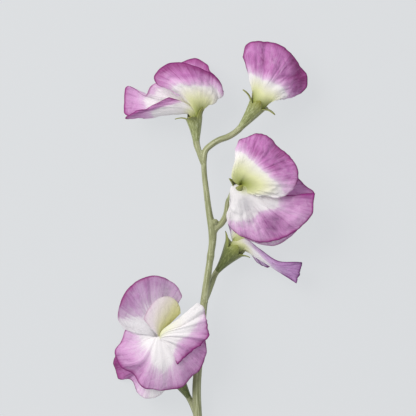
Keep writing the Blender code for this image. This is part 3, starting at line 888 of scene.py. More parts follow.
@dataclass(frozen=True)
class Tooth:
    """One of a calyx's teeth: its length in millimetres, and how it leans and bends in degrees.

    lean is how far it leans out at its root, and bend how far it has bent back by its tip.
    """

    length: float
    lean: float
    bend: float

    def reach(self, t: float) -> tuple[float, float]:
        """Follow the tooth, which bends steadily.

        Args:
            t: Share of the way to its tip.

        Returns:
            How far out and how far up from its root the point lies.
        """
        root, turned = np.radians(self.lean), np.radians(self.lean + self.bend * t)
        arc = self.length / np.radians(self.bend)
        return arc * (np.cos(root) - np.cos(turned)), arc * (np.sin(turned) - np.sin(root))


@dataclass(frozen=True)
class CalyxPoint:
    """One point of a calyx and the numbers that its skin reads.

    place, radius from the axis and height above the foot are millimetres, turn is degrees round the
    calyx, and fresh is how fresh the green is, up to 1 at a tooth's tip.
    """

    place: np.ndarray
    turn: float
    radius: float
    height: float
    fresh: float


@dataclass(frozen=True)
class Calyx:
    """A green cup that widens from the pedicel to its mouth and ends in five slender teeth.

    length is the cup's height and bow how far its foot bends aside. turn is where the first tooth stands,
    in degrees round the calyx from the back. Each tooth tops a stave of the cup and tapers by
    tooth_taper. Its edges lie back by tooth_fold of its length, and tooth_hollow lowers the radius that
    its skin's grain reads, most along the tooth's middle; the tooth itself is not hollowed. mouth_fresh is
    how fresh the green is at the mouth.
    """

    node: str
    length: float
    turn: float
    teeth: tuple[Tooth, ...]
    skin: GreenSkin = CALYX_SKIN
    foot_radius: float = 1.2
    mouth_radius: float = 3.7
    wall: float = 0.35
    flare: float = 1.2
    ribs: int = 10
    rib_height: float = 0.12
    bow: Point = (0.0, 0.0, 0.0)
    tooth_taper: float = 0.6
    tooth_hollow: float = 0.5
    tooth_fold: float = 0.25
    mouth_fresh: float = 0.35
    stave_columns: int = 14
    cup_rows: int = 22
    tooth_rows: int = 14

    def build(self, stance: Stance) -> None:
        """Make the calyx where its blossom stands.

        Args:
            stance: The blossom's place.
        """
        bm = bmesh.new()
        grain = bm.verts.layers.float_vector.new("grain")
        tip = bm.verts.layers.float.new("tip")
        for number, tooth in enumerate(self.teeth):
            middle = self.turn + number * 360.0 / len(self.teeth)
            grid = []
            for column in range(self.stave_columns + 1):
                u = 2.0 * column / self.stave_columns - 1.0
                line = self.cup_line(stance, middle, u) + self.tooth_line(stance, middle, u, tooth)
                grid.append([self.vertex(bm, grain, tip, point) for point in line])
            for left, right in zip(grid, grid[1:]):
                for row in range(self.cup_rows + self.tooth_rows):
                    bm.faces.new((left[row], right[row], right[row + 1], left[row + 1]))
        bmesh.ops.remove_doubles(bm, verts=bm.verts, dist=0.01 * MM)
        bmesh.ops.recalc_face_normals(bm, faces=bm.faces)
        mesh = finished_mesh(self.node, bm)
        mesh.shade_smooth()
        obj = new_object(self.node + "_cup", mesh)
        shell = obj.modifiers.new("wall", "SOLIDIFY")
        shell.thickness = self.wall * MM
        shell.offset = 0.0
        stand_for(obj, self.node, self.skin.material())

    def centre(self, stance: Stance, share: float) -> np.ndarray:
        """Give the middle of the cup.

        Args:
            stance: The blossom's place.
            share: Share of the way from its foot to its mouth.

        Returns:
            The point, in millimetres.
        """
        straight = stance.mouth() - unit(stance.axis) * self.length * (1.0 - share)
        return straight + np.array(self.bow) * (1.0 - share) ** 2

    def cup_line(self, stance: Stance, middle: float, u: float) -> list[CalyxPoint]:
        """Run up the cup's wall.

        Args:
            stance: The blossom's place.
            middle: Degrees round the calyx of the stave's middle.
            u: Place across the stave, from -1 to 1.

        Returns:
            The points from the foot to the mouth.
        """
        turn = middle + 180.0 / len(self.teeth) * u
        line = []
        for row in range(self.cup_rows + 1):
            share = row / self.cup_rows
            # The cup's ribs are highest a little below its mouth.
            radius = self.foot_radius + (self.mouth_radius - self.foot_radius) * share**self.flare
            radius += self.rib_height * np.cos(np.radians(turn * self.ribs)) * share * (1.6 - share)
            place = self.centre(stance, share) + stance.around(turn) * (radius - self.wall / 2)
            line.append(CalyxPoint(place, turn, radius, share * self.length, self.mouth_fresh * share**6))
        return line

    def tooth_line(self, stance: Stance, middle: float, u: float, tooth: Tooth) -> list[CalyxPoint]:
        """Run up a tooth from the mouth.

        Args:
            stance: The blossom's place.
            middle: Degrees round the calyx of the tooth's middle.
            u: Place across the tooth, from -1 to 1.
            tooth: The tooth.

        Returns:
            The points from just above the mouth to the tip.
        """
        axis, _, _ = stance.directions()
        ahead = stance.around(middle)
        rim_radius = self.mouth_radius - self.wall / 2
        line = []
        for row in range(1, self.tooth_rows + 1):
            t = row / self.tooth_rows
            width = (1.0 - t) ** self.tooth_taper
            turn = middle + 180.0 / len(self.teeth) * u * width
            out, up = tooth.reach(t)
            radius = rim_radius + out - self.tooth_hollow * width * t * (1 - u * u)
            place = stance.mouth() + axis * up + ahead * out + stance.around(turn) * rim_radius
            place = place - ahead * (self.tooth_fold * tooth.length * t * (1 - t) * u * u)
            fresh = self.mouth_fresh + (1.0 - self.mouth_fresh) * t
            line.append(CalyxPoint(place, turn, radius, self.length + tooth.length * t, fresh))
        return line

    @staticmethod
    def vertex(bm: bmesh.types.BMesh, grain: object, tip: object, point: CalyxPoint) -> bmesh.types.BMVert:
        """Add one vertex with the numbers that its skin reads.

        Args:
            bm: The mesh being built.
            grain: Its layer of grain coordinates.
            tip: Its layer of how fresh the green is.
            point: The point.

        Returns:
            The new vertex.
        """
        vertex = bm.verts.new(Vector(point.place) * MM)
        angle = np.radians(point.turn)
        vertex[grain] = Vector((point.radius * np.cos(angle), point.radius * np.sin(angle), point.height))
        vertex[tip] = point.fresh
        return vertex


@dataclass(frozen=True)
class Blossom:
    """One blossom: its calyx and its petals."""

    stance: Stance
    calyx: Calyx
    petals: tuple[Petal, ...]

    def build(self) -> None:
        """Make every piece of the blossom."""
        self.calyx.build(self.stance)
        for petal in self.petals:
            petal.build(self.stance)


# Stem


@dataclass(frozen=True)
class Stem:
    """The peduncle with its pedicels, grown together into one smooth skin.

    Each station is x, y, z and radius. A pedicel runs on from its last station into its blossom's calyx,
    as thick as seat_fit of the calyx's foot and seat_depth deep. The tubes are spacing from ring to ring,
    and swell makes up for what the smoothing takes off. The grain of each branch starts branch_step
    further on, so that no two share a pattern, and it is worked out for batch points at a time to save
    memory.
    """

    node: str
    peduncle: tuple[Station, ...]
    pedicels: dict[str, tuple[Station, ...]]
    scars: tuple[Station, ...]
    skin: GreenSkin = STEM_SKIN
    spacing: float = 1.0
    sides: int = 20
    skin_grid: float = 0.24
    smoothing: int = 6
    seat_fit: float = 0.97
    seat_depth: float = 1.2
    swell: float = 0.12
    branch_step: float = 50.0
    batch: int = 4096

    def build(self, blossoms: dict[str, Blossom]) -> None:
        """Make the stem.

        Args:
            blossoms: The blossoms by name, which say where the pedicels end.
        """
        routes = [self.route(np.array(self.peduncle, float))]
        for name, stations in self.pedicels.items():
            stance, calyx = blossoms[name].stance, blossoms[name].calyx
            radius = calyx.foot_radius * self.seat_fit
            seated = self.seat_depth / calyx.length
            ends = [(*calyx.centre(stance, share), radius) for share in (0.0, seated)]
            routes.append(self.route(np.array([*stations, *ends], float)))
        bm = bmesh.new()
        for route in routes:
            self.add_tube(bm, route)
        for x, y, z, radius in self.scars:
            made = bmesh.ops.create_icosphere(bm, subdivisions=3, radius=radius * MM)
            bmesh.ops.translate(bm, verts=made["verts"], vec=Vector((x, y, z)) * MM)
        skin = self.grown_together(bm)
        self.mark_grain(skin, routes)
        obj = new_object(self.node + "_skin", skin)
        stand_for(obj, self.node, self.skin.material())

    def route(self, stations: np.ndarray) -> np.ndarray:
        """Follow the smooth curve through the stations.

        Args:
            stations: Rows of x, y, z and radius.

        Returns:
            Such rows at points a step apart.
        """
        length = np.linalg.norm(np.diff(stations[:, :3], axis=0), axis=1).sum()
        shares = np.linspace(0.0, 1.0, round(length / self.spacing) + 1)
        return hermite(stations, chord_knots(stations), shares)

    @staticmethod
    def directions(route: np.ndarray) -> tuple[np.ndarray, np.ndarray, np.ndarray]:
        """Give a branch's own directions.

        Args:
            route: Rows of x, y, z and radius.

        Returns:
            Ahead, level to the side and square to both at each row, as unit vectors.
        """
        ahead = unit(np.gradient(route[:, :3], axis=0))
        side = unit(np.cross(ahead, (0.0, 0.0, 1.0)))
        return ahead, side, np.cross(side, ahead)

    def add_tube(self, bm: bmesh.types.BMesh, route: np.ndarray) -> None:
        """Add a closed tapering tube.

        Args:
            bm: The mesh being built.
            route: Rows of x, y, z and radius along the tube.
        """
        _, side, over = self.directions(route)
        turns = [2 * np.pi * k / self.sides for k in range(self.sides)]
        rings = []
        for centre, a, b in zip(route, side, over):
            radius = centre[3] + self.swell
            spokes = [radius * (a * np.cos(t) + b * np.sin(t)) for t in turns]
            rings.append([bm.verts.new(Vector(centre[:3] + spoke) * MM) for spoke in spokes])
        for low, high in zip(rings, rings[1:]):
            for k in range(self.sides):
                after = (k + 1) % self.sides
                bm.faces.new((low[k], low[after], high[after], high[k]))
        bm.faces.new(rings[0][::-1])
        bm.faces.new(rings[-1])

    def grown_together(self, bm: bmesh.types.BMesh) -> bpy.types.Mesh:
        """Merge the tubes and scars into one smooth skin.

        Args:
            bm: The mesh of the tubes and scars.

        Returns:
            The skin.
        """
        draft = new_object("stem_tubes", finished_mesh("stem_tubes", bm))
        grown = draft.modifiers.new("grown together", "REMESH")
        grown.mode = "VOXEL"
        grown.voxel_size = self.skin_grid * MM
        even = draft.modifiers.new("even", "SMOOTH")
        even.iterations = self.smoothing
        bpy.context.view_layer.update()
        evaluated = draft.evaluated_get(bpy.context.evaluated_depsgraph_get())
        skin = bpy.data.meshes.new_from_object(evaluated)
        bpy.data.objects.remove(draft)
        skin.name = self.node
        skin.shade_smooth()
        return skin

    def mark_grain(self, mesh: bpy.types.Mesh, routes: list[np.ndarray]) -> None:
        """Store where each point lies round and along its branch, so that the skin's streaks follow it.

        Args:
            mesh: The stem's skin.
            routes: The centre lines of the peduncle and the pedicels.
        """
        points = np.zeros(len(mesh.vertices) * 3)
        mesh.vertices.foreach_get("co", points)
        points = points.reshape(-1, 3) / MM
        nearest = np.full(len(points), np.inf)
        grain = np.zeros((len(points), 3))
        for number, route in enumerate(routes):
            ahead, side, over = self.directions(route)
            steps = np.linalg.norm(np.diff(route[:, :3], axis=0), axis=1)
            run = np.concatenate([[0.0], np.cumsum(steps)]) + self.branch_step * number
            for begin in range(0, len(points), self.batch):
                part = slice(begin, begin + self.batch)
                apart = np.linalg.norm(points[part, None] - route[None, :, :3], axis=2)
                best = apart.argmin(axis=1)
                reach = apart[np.arange(len(best)), best] - route[best, 3]
                offset = points[part] - route[best, :3]
                round_it = [(offset * side[best]).sum(1), (offset * over[best]).sum(1)]
                found = np.stack([*round_it, run[best] + (offset * ahead[best]).sum(1)], axis=1)
                closer = reach < nearest[part]
                nearest[part] = np.where(closer, reach, nearest[part])
                grain[part][closer] = found[closer]
        attribute = mesh.attributes.new("grain", "FLOAT_VECTOR", "POINT")
        attribute.data.foreach_set("vector", grain.astype(np.float32).ravel())


# Table, light and camera


@dataclass(frozen=True)
class SoftBox:
    """A square soft box that faces the spray: place, aim and size are metres and power is watts."""

    name: str
    place: Point
    size: float
    power: float
    colour: str
    aim: Point = (0.0, 0.03, 0.0)

    def build(self) -> None:
        """Hang the soft box."""
        light = bpy.data.lights.new(self.name, "AREA")
        light.size = self.size
        light.energy = self.power
        light.color = linear(self.colour)[:3]
        lamp = new_object(self.name, light)
        lamp.location = self.place
        lamp.rotation_mode = "QUATERNION"
        lamp.rotation_quaternion = (Vector(self.aim) - Vector(self.place)).to_track_quat("-Z", "Y")


@dataclass(frozen=True)
class Stage:
    """The pale table, the soft light and the camera that looks straight down.

    table_size is metres. view_centre, view_height, lens and sensor are millimetres. room is the even
    light from all round and room_strength its strength.
    """

    table_size: float = 3.0
    board: OpalGlass = OpalGlass()
    room: str = "#f6f8fb"
    room_strength: float = 0.64
    key: SoftBox = SoftBox(name="key", place=(-0.52, 0.42, 0.75), size=0.6, power=8.6, colour="#fffcf8")
    view_centre: tuple[float, float] = (-2.3, 30.7)
    view_height: float = 989.0
    lens: float = 200.0
    sensor: float = 36.0

    def build(self) -> None:
        """Make the table, the lights and the camera."""
        self.add_table()
        self.add_room_light()
        self.key.build()
        self.add_camera()
        bpy.context.scene.view_settings.view_transform = "Standard"
        log.info("stage: table, room light, soft box and camera")

    def add_table(self) -> None:
        """Lay the board under the spray."""
        bm = bmesh.new()
        bmesh.ops.create_grid(bm, x_segments=8, y_segments=8, size=self.table_size / 2)
        table = new_object("table", finished_mesh("table", bm))
        table.data.materials.append(self.board.material())

    def add_room_light(self) -> None:
        """Light the room evenly."""
        world = bpy.data.worlds.new("studio")
        world.use_nodes = True
        background = world.node_tree.nodes["Background"]
        background.inputs["Color"].default_value = linear(self.room)
        background.inputs["Strength"].default_value = self.room_strength
        bpy.context.scene.world = world

    def add_camera(self) -> None:
        """Set the camera above the spray."""
        data = bpy.data.cameras.new("camera")
        data.lens = self.lens
        data.sensor_width = self.sensor
        camera = new_object("camera", data)
        x, y = self.view_centre
        camera.location = Vector((x, y, self.view_height)) * MM
        bpy.context.scene.camera = camera


# The spray's own sizes

# The kinds of petal. Most of a kind stand alike in their calyx and share a tissue.
standard = partial(Petal, turn=0.0, arc=150.0, tissue=STANDARD, slot=Slot.STANDARD)
wing = partial(Petal, arc=80.0, ring=2.3, tissue=WING, slot=Slot.WING)
keel = partial(Petal, arc=70.0, ring=1.8, tissue=KEEL, slot=Slot.KEEL)

TOP_LEFT = Blossom(
    stance=Stance(throat=(-8.6, 71.4, 15.0), axis=(-0.15, 0.97, 0.1), back=(1.0, 0.15, 0.0), rise=2.9),
    calyx=Calyx(
        node="calyx_top_left", length=10.0, turn=40.0, foot_radius=1.4, mouth_radius=3.5, flare=1.2,
        bow=(-0.6, 0.0, 0.0),
        teeth=(
            Tooth(5.2, 25.0, 40.0), Tooth(5.4, -4.0, 14.0), Tooth(5.0, 55.0, 50.0),
            Tooth(4.8, 62.0, 30.0), Tooth(4.6, 10.0, 25.0),
        ),
    ),
    petals=(
        standard(
            node="standard_top_left", ring=3.0, seed=1.0,
            flush=Flush(
                green=(0.6, 0.65, 0.65, 0.75, 0.8, 0.8, 0.6, 0.6, 0.6, 0.7, 0.8),
                start=(0.75, 0.56, 0.5, 0.56, 0.64, 0.7, 0.55, 0.4, 0.4, 0.5, 0.6),
                full=(1.0, 0.86, 0.82, 0.92, 1.1, 1.15, 0.95, 0.8, 0.8, 0.9, 1.1),
                depth=(0.5, 0.85, 1.0, 1.0, 0.85, 0.5, 0.8, 1.0, 0.9, 0.5, 0.4),
                stains_and_shade=(
                    (0.2, 0.93, 0.07, 0.08, 0.7), (0.28, 0.96, 0.07, 0.06, 0.6),
                    (0.13, 0.95, 0.05, 0.05, 0.3), (0.7, 0.97, 0.1, 0.06, 0.5),
                    (0.38, 0.97, 0.08, 0.04, 0.6),
                ),
                fades=((0.12, 0.78, 0.06, 0.14, 0.3), (0.77, 0.85, 0.06, 0.08, 0.45)),
            ),
            ruffle=Ruffle(wave=0.7, waves=3.5, pleat=0.2, pleats=22, crumple=1.1, nibble=0.5),
            ribs=(
                ((-5.2, 6.6, 2.8), (-10.3, 9.7, 4.2)), ((-6, 7.8, 4.4), (-15.5, 11.4, 4.6)),
                ((-5.8, 8.9, 5.6), (-16.7, 14.3, 5)), ((-4.8, 10, 6.8), (-15.2, 16.6, 5.6)),
                ((-3, 11, 7.5), (-10.6, 19.5, 6.5)), ((1, 11, 7.8), (-3.4, 19.7, 7.5)),
                ((5, 9, 6.8), (4, 17.5, 6.4)), ((8, 7.2, 5.3), (9, 15, 5)),
                ((9.8, 6, 4.2), (12, 11.6, 3.8)), ((10.6, 5, 2.8), (12.8, 8.4, 2.2)),
                ((9.2, 7.4, -1), (8.8, 15.6, -1)), ((4, 9.8, -8), (6, 20.2, -8)),
                ((-0.5, 10.5, -9.5), (0.7, 23.3, -9.5)), ((-4, 8.5, -10.8), (-4.4, 22.3, -11.5)),
                ((-7, 6, -11), (-12, 17.3, -14.5)), ((-8, 2.5, -9.5), (-17, 8, -15)),
            ),
        ),
        wing(
            node="wing_near_top_left", turn=270.0, seed=2.0,
            flush=Flush(
                green=(0.6, 0.45, 0.4, 0.3, 0.3, 0.35), start=(0.55, 0.48, 0.5, 0.55, 0.6),
                full=(0.95, 0.9, 0.9, 1.0, 1.3), depth=(0.8, 0.85, 0.9, 0.8, 0.4),
                stains_and_shade=((0.5, 0.92, 0.12, 0.1, 0.4), (0.15, 0.9, 0.15, 0.08, 0.2)),
            ),
            ribs=(
                ((-5.2, 4.2, 4.5), (-10.2, 5.8, 6.5)), ((-7.5, 2.6, 5.5), (-17.3, 2, 7)),
                ((-9, 1.4, 5.2), (-24.4, -0.5, 5.5)), ((-9.5, 0.2, 4), (-28.4, -2.7, 3)),
                ((-9, -0.9, 2.6), (-24.7, -3.3, 0.5)), ((-7, -1.3, 1), (-18.3, -2.3, -1.5)),
            ),
        ),
        wing(
            node="wing_far_top_left", turn=90.0, seed=3.0,
            flush=Flush(
                green=(0.6, 0.5, 0.4), start=(0.7, 0.7, 0.6, 0.58, 0.55),
                full=(1.05, 1.15, 1.0, 0.95, 0.9), depth=(0.5, 0.4, 0.65, 0.8, 0.8),
                stains_and_shade=((0.42, 0.85, 0.06, 0.1, 0.25),),
            ),
            ribs=(
                ((-6.5, 6.5, -1.5), (-14, 13, -1)), ((-8.5, 6, -2), (-17.5, 11, -2)),
                ((-10.5, 4.5, -2.5), (-20.5, 6.7, -3)), ((-13, 4.2, -3), (-24.2, 9.2, -4)),
                ((-15, 3.8, -3), (-27.6, 11, -4.5)), ((-15.5, 2.2, -2), (-29.3, 4, -3)),
                ((-14, 0.8, -1), (-28.6, -1.3, -1)), ((-10, 0, -1.5), (-22.5, -2, -2)),
            ),
        ),
        keel(
            node="keel_top_left", turn=180.0, seed=4.0,
            flush=Flush(green=(0.8,), start=(0.85,), full=(1.2,), depth=(0.3,)),
            ribs=(
                ((-5, 4, 0.5), (-12, 4.8, 0.5)), ((-6, 2.8, 1), (-14.5, 3.4, 1.2)),
                ((-6.3, 1.7, 1.2), (-15.5, 1.7, 1.5)), ((-6, 0.6, 1), (-14.5, 0.2, 1)),
                ((-5, -0.2, 0.4), (-12, -0.9, 0.2)),
            ),
        ),
    ),
)

TOP_RIGHT = Blossom(
    stance=Stance(
        throat=(19.1, 74.8, 17.0), axis=(0.54, 0.79, 0.29), back=(-0.17, -0.28, 0.94), rise=1.0,
    ),
    calyx=Calyx(
        node="calyx_top_right", length=13.0, turn=0.0, foot_radius=1.35, mouth_radius=3.9,
        bow=(-0.3, 0.7, 0.0),
        teeth=(
            Tooth(3.8, 10.0, 30.0), Tooth(5.5, 45.0, 60.0), Tooth(4.5, 60.0, 80.0),
            Tooth(4.5, 40.0, 60.0), Tooth(6.3, 42.0, 45.0),
        ),
    ),
    petals=(
        standard(
            node="standard_top_right", arc=190.0, ring=3.3, seed=5.0,
            flush=Flush(
                green=(0.6, 0.55, 0.5, 0.48, 0.48, 0.5, 0.6, 0.75),
                start=(0.52, 0.4, 0.36, 0.38, 0.4, 0.42, 0.5, 0.62),
                full=(0.9, 0.7, 0.62, 0.66, 0.7, 0.76, 0.85, 1.1),
                depth=(0.8, 1.0, 0.95, 0.9, 0.95, 1.0, 0.9, 0.35),
                # The deep patches from halfway across to the side edge at the right are painted shade where
                # the blade's outer third curves down, over a deeper colour of its own.
                stains_and_shade=(
                    (0.52, 0.98, 0.08, 0.1, 0.7), (0.62, 0.94, 0.08, 0.14, 0.8),
                    (0.72, 0.88, 0.07, 0.15, 0.75), (0.8, 0.9, 0.05, 0.1, 0.4),
                    (0.25, 0.72, 0.04, 0.08, 0.3), (0.12, 0.6, 0.03, 0.06, 0.2),
                    (0.42, 0.99, 0.08, 0.05, 0.45),
                ),
                fades=(
                    (0.35, 0.75, 0.05, 0.12, 0.25), (0.5, 0.7, 0.04, 0.1, 0.25),
                    (0.03, 0.6, 0.06, 0.2, 0.35),
                ),
            ),
            ruffle=Ruffle(wave=0.5, waves=3.0, pleat=0.16, pleats=18, crumple=1.3, nibble=0.5),
            ribs=(
                ((-2.9, 4.6, 3), (-4.6, 12, 3.5), (-7, 19.5, 3)),
                ((-2.1, 5.6, 3.4), (-2.7, 13, 4.5), (-5.2, 24.4, 3)),
                ((-0.7, 6.2, 3.8), (0.2, 13.7, 5), (0, 26.2, 3)),
                ((0.9, 6.3, 4), (3, 13.2, 5), (5, 25.8, 2)), ((2.4, 6, 4), (6, 12, 4.8), (11.2, 22.6, 0)),
                ((3.8, 5.4, 4), (8.4, 10, 4.2), (16.2, 17.8, -2)),
                ((5, 4.5, 3.8), (10, 7.6, 3.4), (20.2, 12.5, -4)),
                ((6, 3.4, 3.5), (10.4, 5.2, 2.6), (20, 7.2, -5)),
                ((6.6, 2.2, 3.1), (10, 3, 1.6), (16.5, 3, -5.5)),
                ((6.7, 1, 2.6), (8.8, 1.3, 0.8), (12, 1.7, -3.5)),
            ),
        ),
        wing(
            node="wing_left_top_right", turn=270.0, seed=6.0,
            flush=Flush(green=(0.35,), start=(0.4, 0.45, 0.5), full=(0.85,), depth=(0.9, 0.8, 0.7)),
            ribs=(
                ((0, 9, 0), (1, 16, -2)), ((0, 9, -3), (0, 20, -5)), ((0.5, 8.5, -6), (2, 21, -10)),
                ((1.5, 7, -8), (4, 18, -15.5)), ((2.5, 5.5, -8), (6, 14, -17)),
            ),
        ),
        wing(
            node="wing_right_top_right", turn=90.0, seed=7.0,
            flush=Flush(green=(0.35,), start=(0.4, 0.45, 0.5), full=(0.85,), depth=(0.9, 0.8, 0.7)),
            ribs=(
                ((6.6, 4.8, -0.8), (12, 9, -4.2)), ((7.6, 5.3, -3), (15, 10.5, -7)),
                ((8.2, 5.8, -5.6), (15.5, 12, -11.5)), ((8.2, 5.6, -7.8), (14, 11.5, -16)),
                ((7.6, 4.6, -8.5), (11.5, 8.5, -17)),
            ),
        ),
        keel(
            node="keel_top_right", turn=180.0, seed=8.0,
            flush=Flush(green=(0.8,), start=(0.85,), full=(1.2,), depth=(0.3,)),
            ribs=(
                ((2.9, 5.8, -3), (6.5, 12.5, -7)), ((3.2, 5, -4), (6.9, 12, -9.5)),
                ((3.6, 4.4, -4.8), (7.6, 11.4, -10.5)), ((4.2, 4.2, -4.2), (8.3, 11, -9.5)),
                ((4.6, 4.4, -3.2), (8.8, 10.8, -7)),
            ),
        ),
    ),
)

MIDDLE = Blossom(
    stance=Stance(throat=(10.7, 39.5, 25.5), axis=(0.42, 0.55, 0.72), back=(0.0, 0.77, -0.6), rise=0.0),
    calyx=Calyx(
        node="calyx_middle", length=9.5, turn=18.0, mouth_radius=3.0,
        teeth=(
            Tooth(2.6, 10.0, 20.0), Tooth(4.8, 40.0, 10.0), Tooth(4.8, 14.0, -30.0),
            Tooth(2.6, 70.0, 30.0), Tooth(2.6, 20.0, 50.0),
        ),
    ),
    petals=(
        standard(
            node="standard_middle", turn=30.0, arc=260.0, ring=0.9, claw_rise=0.8, seed=9.0,
            flush=Flush(
                green=(0.8, 0.8, 0.66, 0.62, 0.6, 0.6, 0.68, 0.82, 0.95, 1.0, 1.0),
                start=(0.74, 0.62, 0.5, 0.47, 0.46, 0.46, 0.48, 0.54, 0.66, 0.76, 0.9),
                full=(1.2, 0.95, 0.76, 0.74, 0.7, 0.7, 0.8, 1.05, 1.2, 1.4, 1.4),
                depth=(0.5, 0.7, 1.0, 1.0, 1.0, 1.0, 0.85, 0.5, 0.25, 0.2, 0.2),
                stains_and_shade=(
                    (0.42, 0.9, 0.07, 0.1, 0.4), (0.25, 0.68, 0.05, 0.1, 0.25),
                    (0.52, 0.7, 0.05, 0.08, 0.3), (0.38, 0.98, 0.1, 0.05, 0.35),
                ),
            ),
            ruffle=Ruffle(
                wave=0.6, waves=3.0, pleat=0.35, pleats=24, crumple=0.9, nibble=0.5, onset=0.45,
            ),
            ribs=(
                ((-3, 3, 2.9), (-2.7, 8.6, 4), (-1, 15.5, 2.4)),
                ((-2, 5, 3.5), (-0.9, 11, 5), (0, 19, 2.4)),
                ((-0.5, 6, 3.9), (1.4, 12, 5.8), (3.4, 20.8, 2)),
                ((0.8, 6.2, 4.2), (3.8, 12.4, 6.1), (7, 22.2, 1.4)),
                ((2.2, 6, 4.4), (6.4, 11.6, 6.4), (11.3, 20.7, 1)),
                ((3.4, 5.6, 4.5), (8.8, 10, 6.6), (16.4, 17, 1.2)),
                ((4.4, 4.8, 4.5), (10.8, 7.9, 6.7), (21, 13, 1.8)),
                ((5.1, 3.7, 4.4), (12.2, 5.4, 6.7), (23.9, 8, 2.8)),
                ((5.5, 2.4, 4.2), (12.6, 2.6, 6.5), (24.6, 3.4, 3.6)),
                ((5.6, 0.9, 3.9), (12, 0, 6.1), (21.8, -1.9, 4.2)),
                ((5.3, -0.6, 3.5), (10.8, -2.2, 5.4), (16.7, -4.5, 4.6)),
                ((4.6, -1.9, 3), (8.6, -3.2, 4.4), (12.2, -3.9, 4.2)),
                ((3.4, -2.6, 2.6), (5.4, -3.4, 3.2), (7.4, -3.4, 3.2)),
            ),
        ),
        wing(
            node="wing_near_middle", turn=170.0, arc=150.0, ring=1.2, seed=10.0,
            flush=Flush(
                green=(0.25, 0.3, 0.33, 0.3), start=(0.75, 0.62, 0.52, 0.5, 0.45, 0.48, 0.5, 0.45, 0.42),
                full=(1.2, 1.1, 1.0, 0.95, 0.74, 0.72, 0.78, 0.85, 0.9),
                depth=(0.3, 0.6, 0.7, 0.75, 1.0, 1.0, 0.8, 0.75, 0.95),
                stains_and_shade=(
                    (0.5, 0.78, 0.05, 0.2, 0.35), (0.15, 1.0, 0.2, 0.06, 0.3),
                    (0.97, 0.95, 0.05, 0.12, 0.3),
                ),
                fades=((0.75, 0.8, 0.08, 0.25, 0.4), (0.36, 0.85, 0.1, 0.12, 0.35)),
            ),
            ruffle=Ruffle(wave=0.7, waves=3.5, pleat=0.16, pleats=16, crumple=1.3, nibble=0.4),
            ribs=(
                ((-3, 0.4, 2.6), (-4.1, -5.6, 1.4), (-4.6, -12.8, -4)),
                ((-1.9, -1.6, 2.8), (-3.2, -7.4, 0.8), (-3.4, -17.5, -5)),
                ((-0.8, -2.4, 2.8), (-1, -8.2, 1.6), (0.6, -20.6, -4.5)),
                ((0.6, -2.8, 2.8), (1.6, -8.6, 0.6), (5, -22.3, -4)),
                ((1.8, -2.7, 2.6), (4.2, -8.6, -1), (10.5, -23.3, -3.5)),
                ((3, -2.4, 2.4), (6.8, -8.2, 0), (16, -22.3, -3)),
                ((4, -2, 2.3), (9, -7.4, 1.5), (21.8, -19.4, -2)),
                ((4.8, -1.6, 2.2), (10.6, -6.2, 1.6), (27.7, -15.5, 0)),
                ((5.4, -1.2, 2.1), (11.8, -5, 1.4), (30.7, -10.9, 1)),
                ((6, -0.8, 2), (12.4, -3.9, 1), (31, -6.7, 1)),
                ((6.4, -0.4, 1.9), (11.8, -2.6, 0.6), (31.8, -2.6, 0.4)),
            ),
        ),
        wing(
            node="wing_far_middle", turn=242.0, seed=11.0,
            flush=Flush(
                green=(0.4,), start=(0.7, 0.7, 0.6, 0.3), full=(1.1, 1.1, 0.9, 0.6),
                # The faint stain near the margin by the last rib is painted shade cast by the standard.
                depth=(0.35, 0.3, 0.6, 0.65, 0.55), stains_and_shade=((0.88, 0.95, 0.12, 0.1, 0.1),),
            ),
            ribs=(
                ((4.5, -3.3, 0.2), (4.2, -8.5, -6), (2.5, -21.8, -9)),
                ((4.7, -3.1, 0.1), (5.8, -9.5, -6), (9.7, -24.3, -8.5)),
                ((4.9, -3, 0.1), (7.6, -9.5, -6), (16, -24.4, -8)),
                ((5.1, -2.8, 0), (9.5, -8.5, -6), (21.8, -20.8, -7.5)),
                ((5.3, -2.6, 0), (11.5, -7, -6), (26.9, -14.7, -7)),
                ((5.4, -2.5, -0.1), (12.5, -5, -5.8), (30.2, -7.6, -6.5)),
                ((5.6, -2.4, -0.1), (13, -3, -5.5), (31.5, -2.1, -6)),
                ((5.7, -2.2, -0.2), (12.5, -1, -5), (28.1, 0.4, -5.5)),
                ((5.9, -2.1, -0.3), (11.5, 1, -4.5), (25, 3.6, -5)),
            ),
        ),
        keel(
            node="keel_middle", turn=305.0, seed=12.0,
            flush=Flush(green=(1.0,), start=(0.85,), full=(1.2,), depth=(0.3,)),
            ribs=(
                ((5.2, -0.4, -0.8), (10, -1.4, 0.8), (15, -2, 0)),
                ((5.3, 0.3, -0.6), (10.5, 0.2, 1.4), (17, -0.4, 0.4)),
                ((5.3, 1, -0.5), (10.5, 2, 1.5), (17.5, 2, 0.4)),
                ((5.3, 1.5, -0.7), (9.8, 3.6, 1.2), (16, 4.4, 0)),
                ((5.1, 2.2, -0.9), (8.5, 4.8, 0.4), (13.5, 6, -0.6)),
            ),
        ),
    ),
)

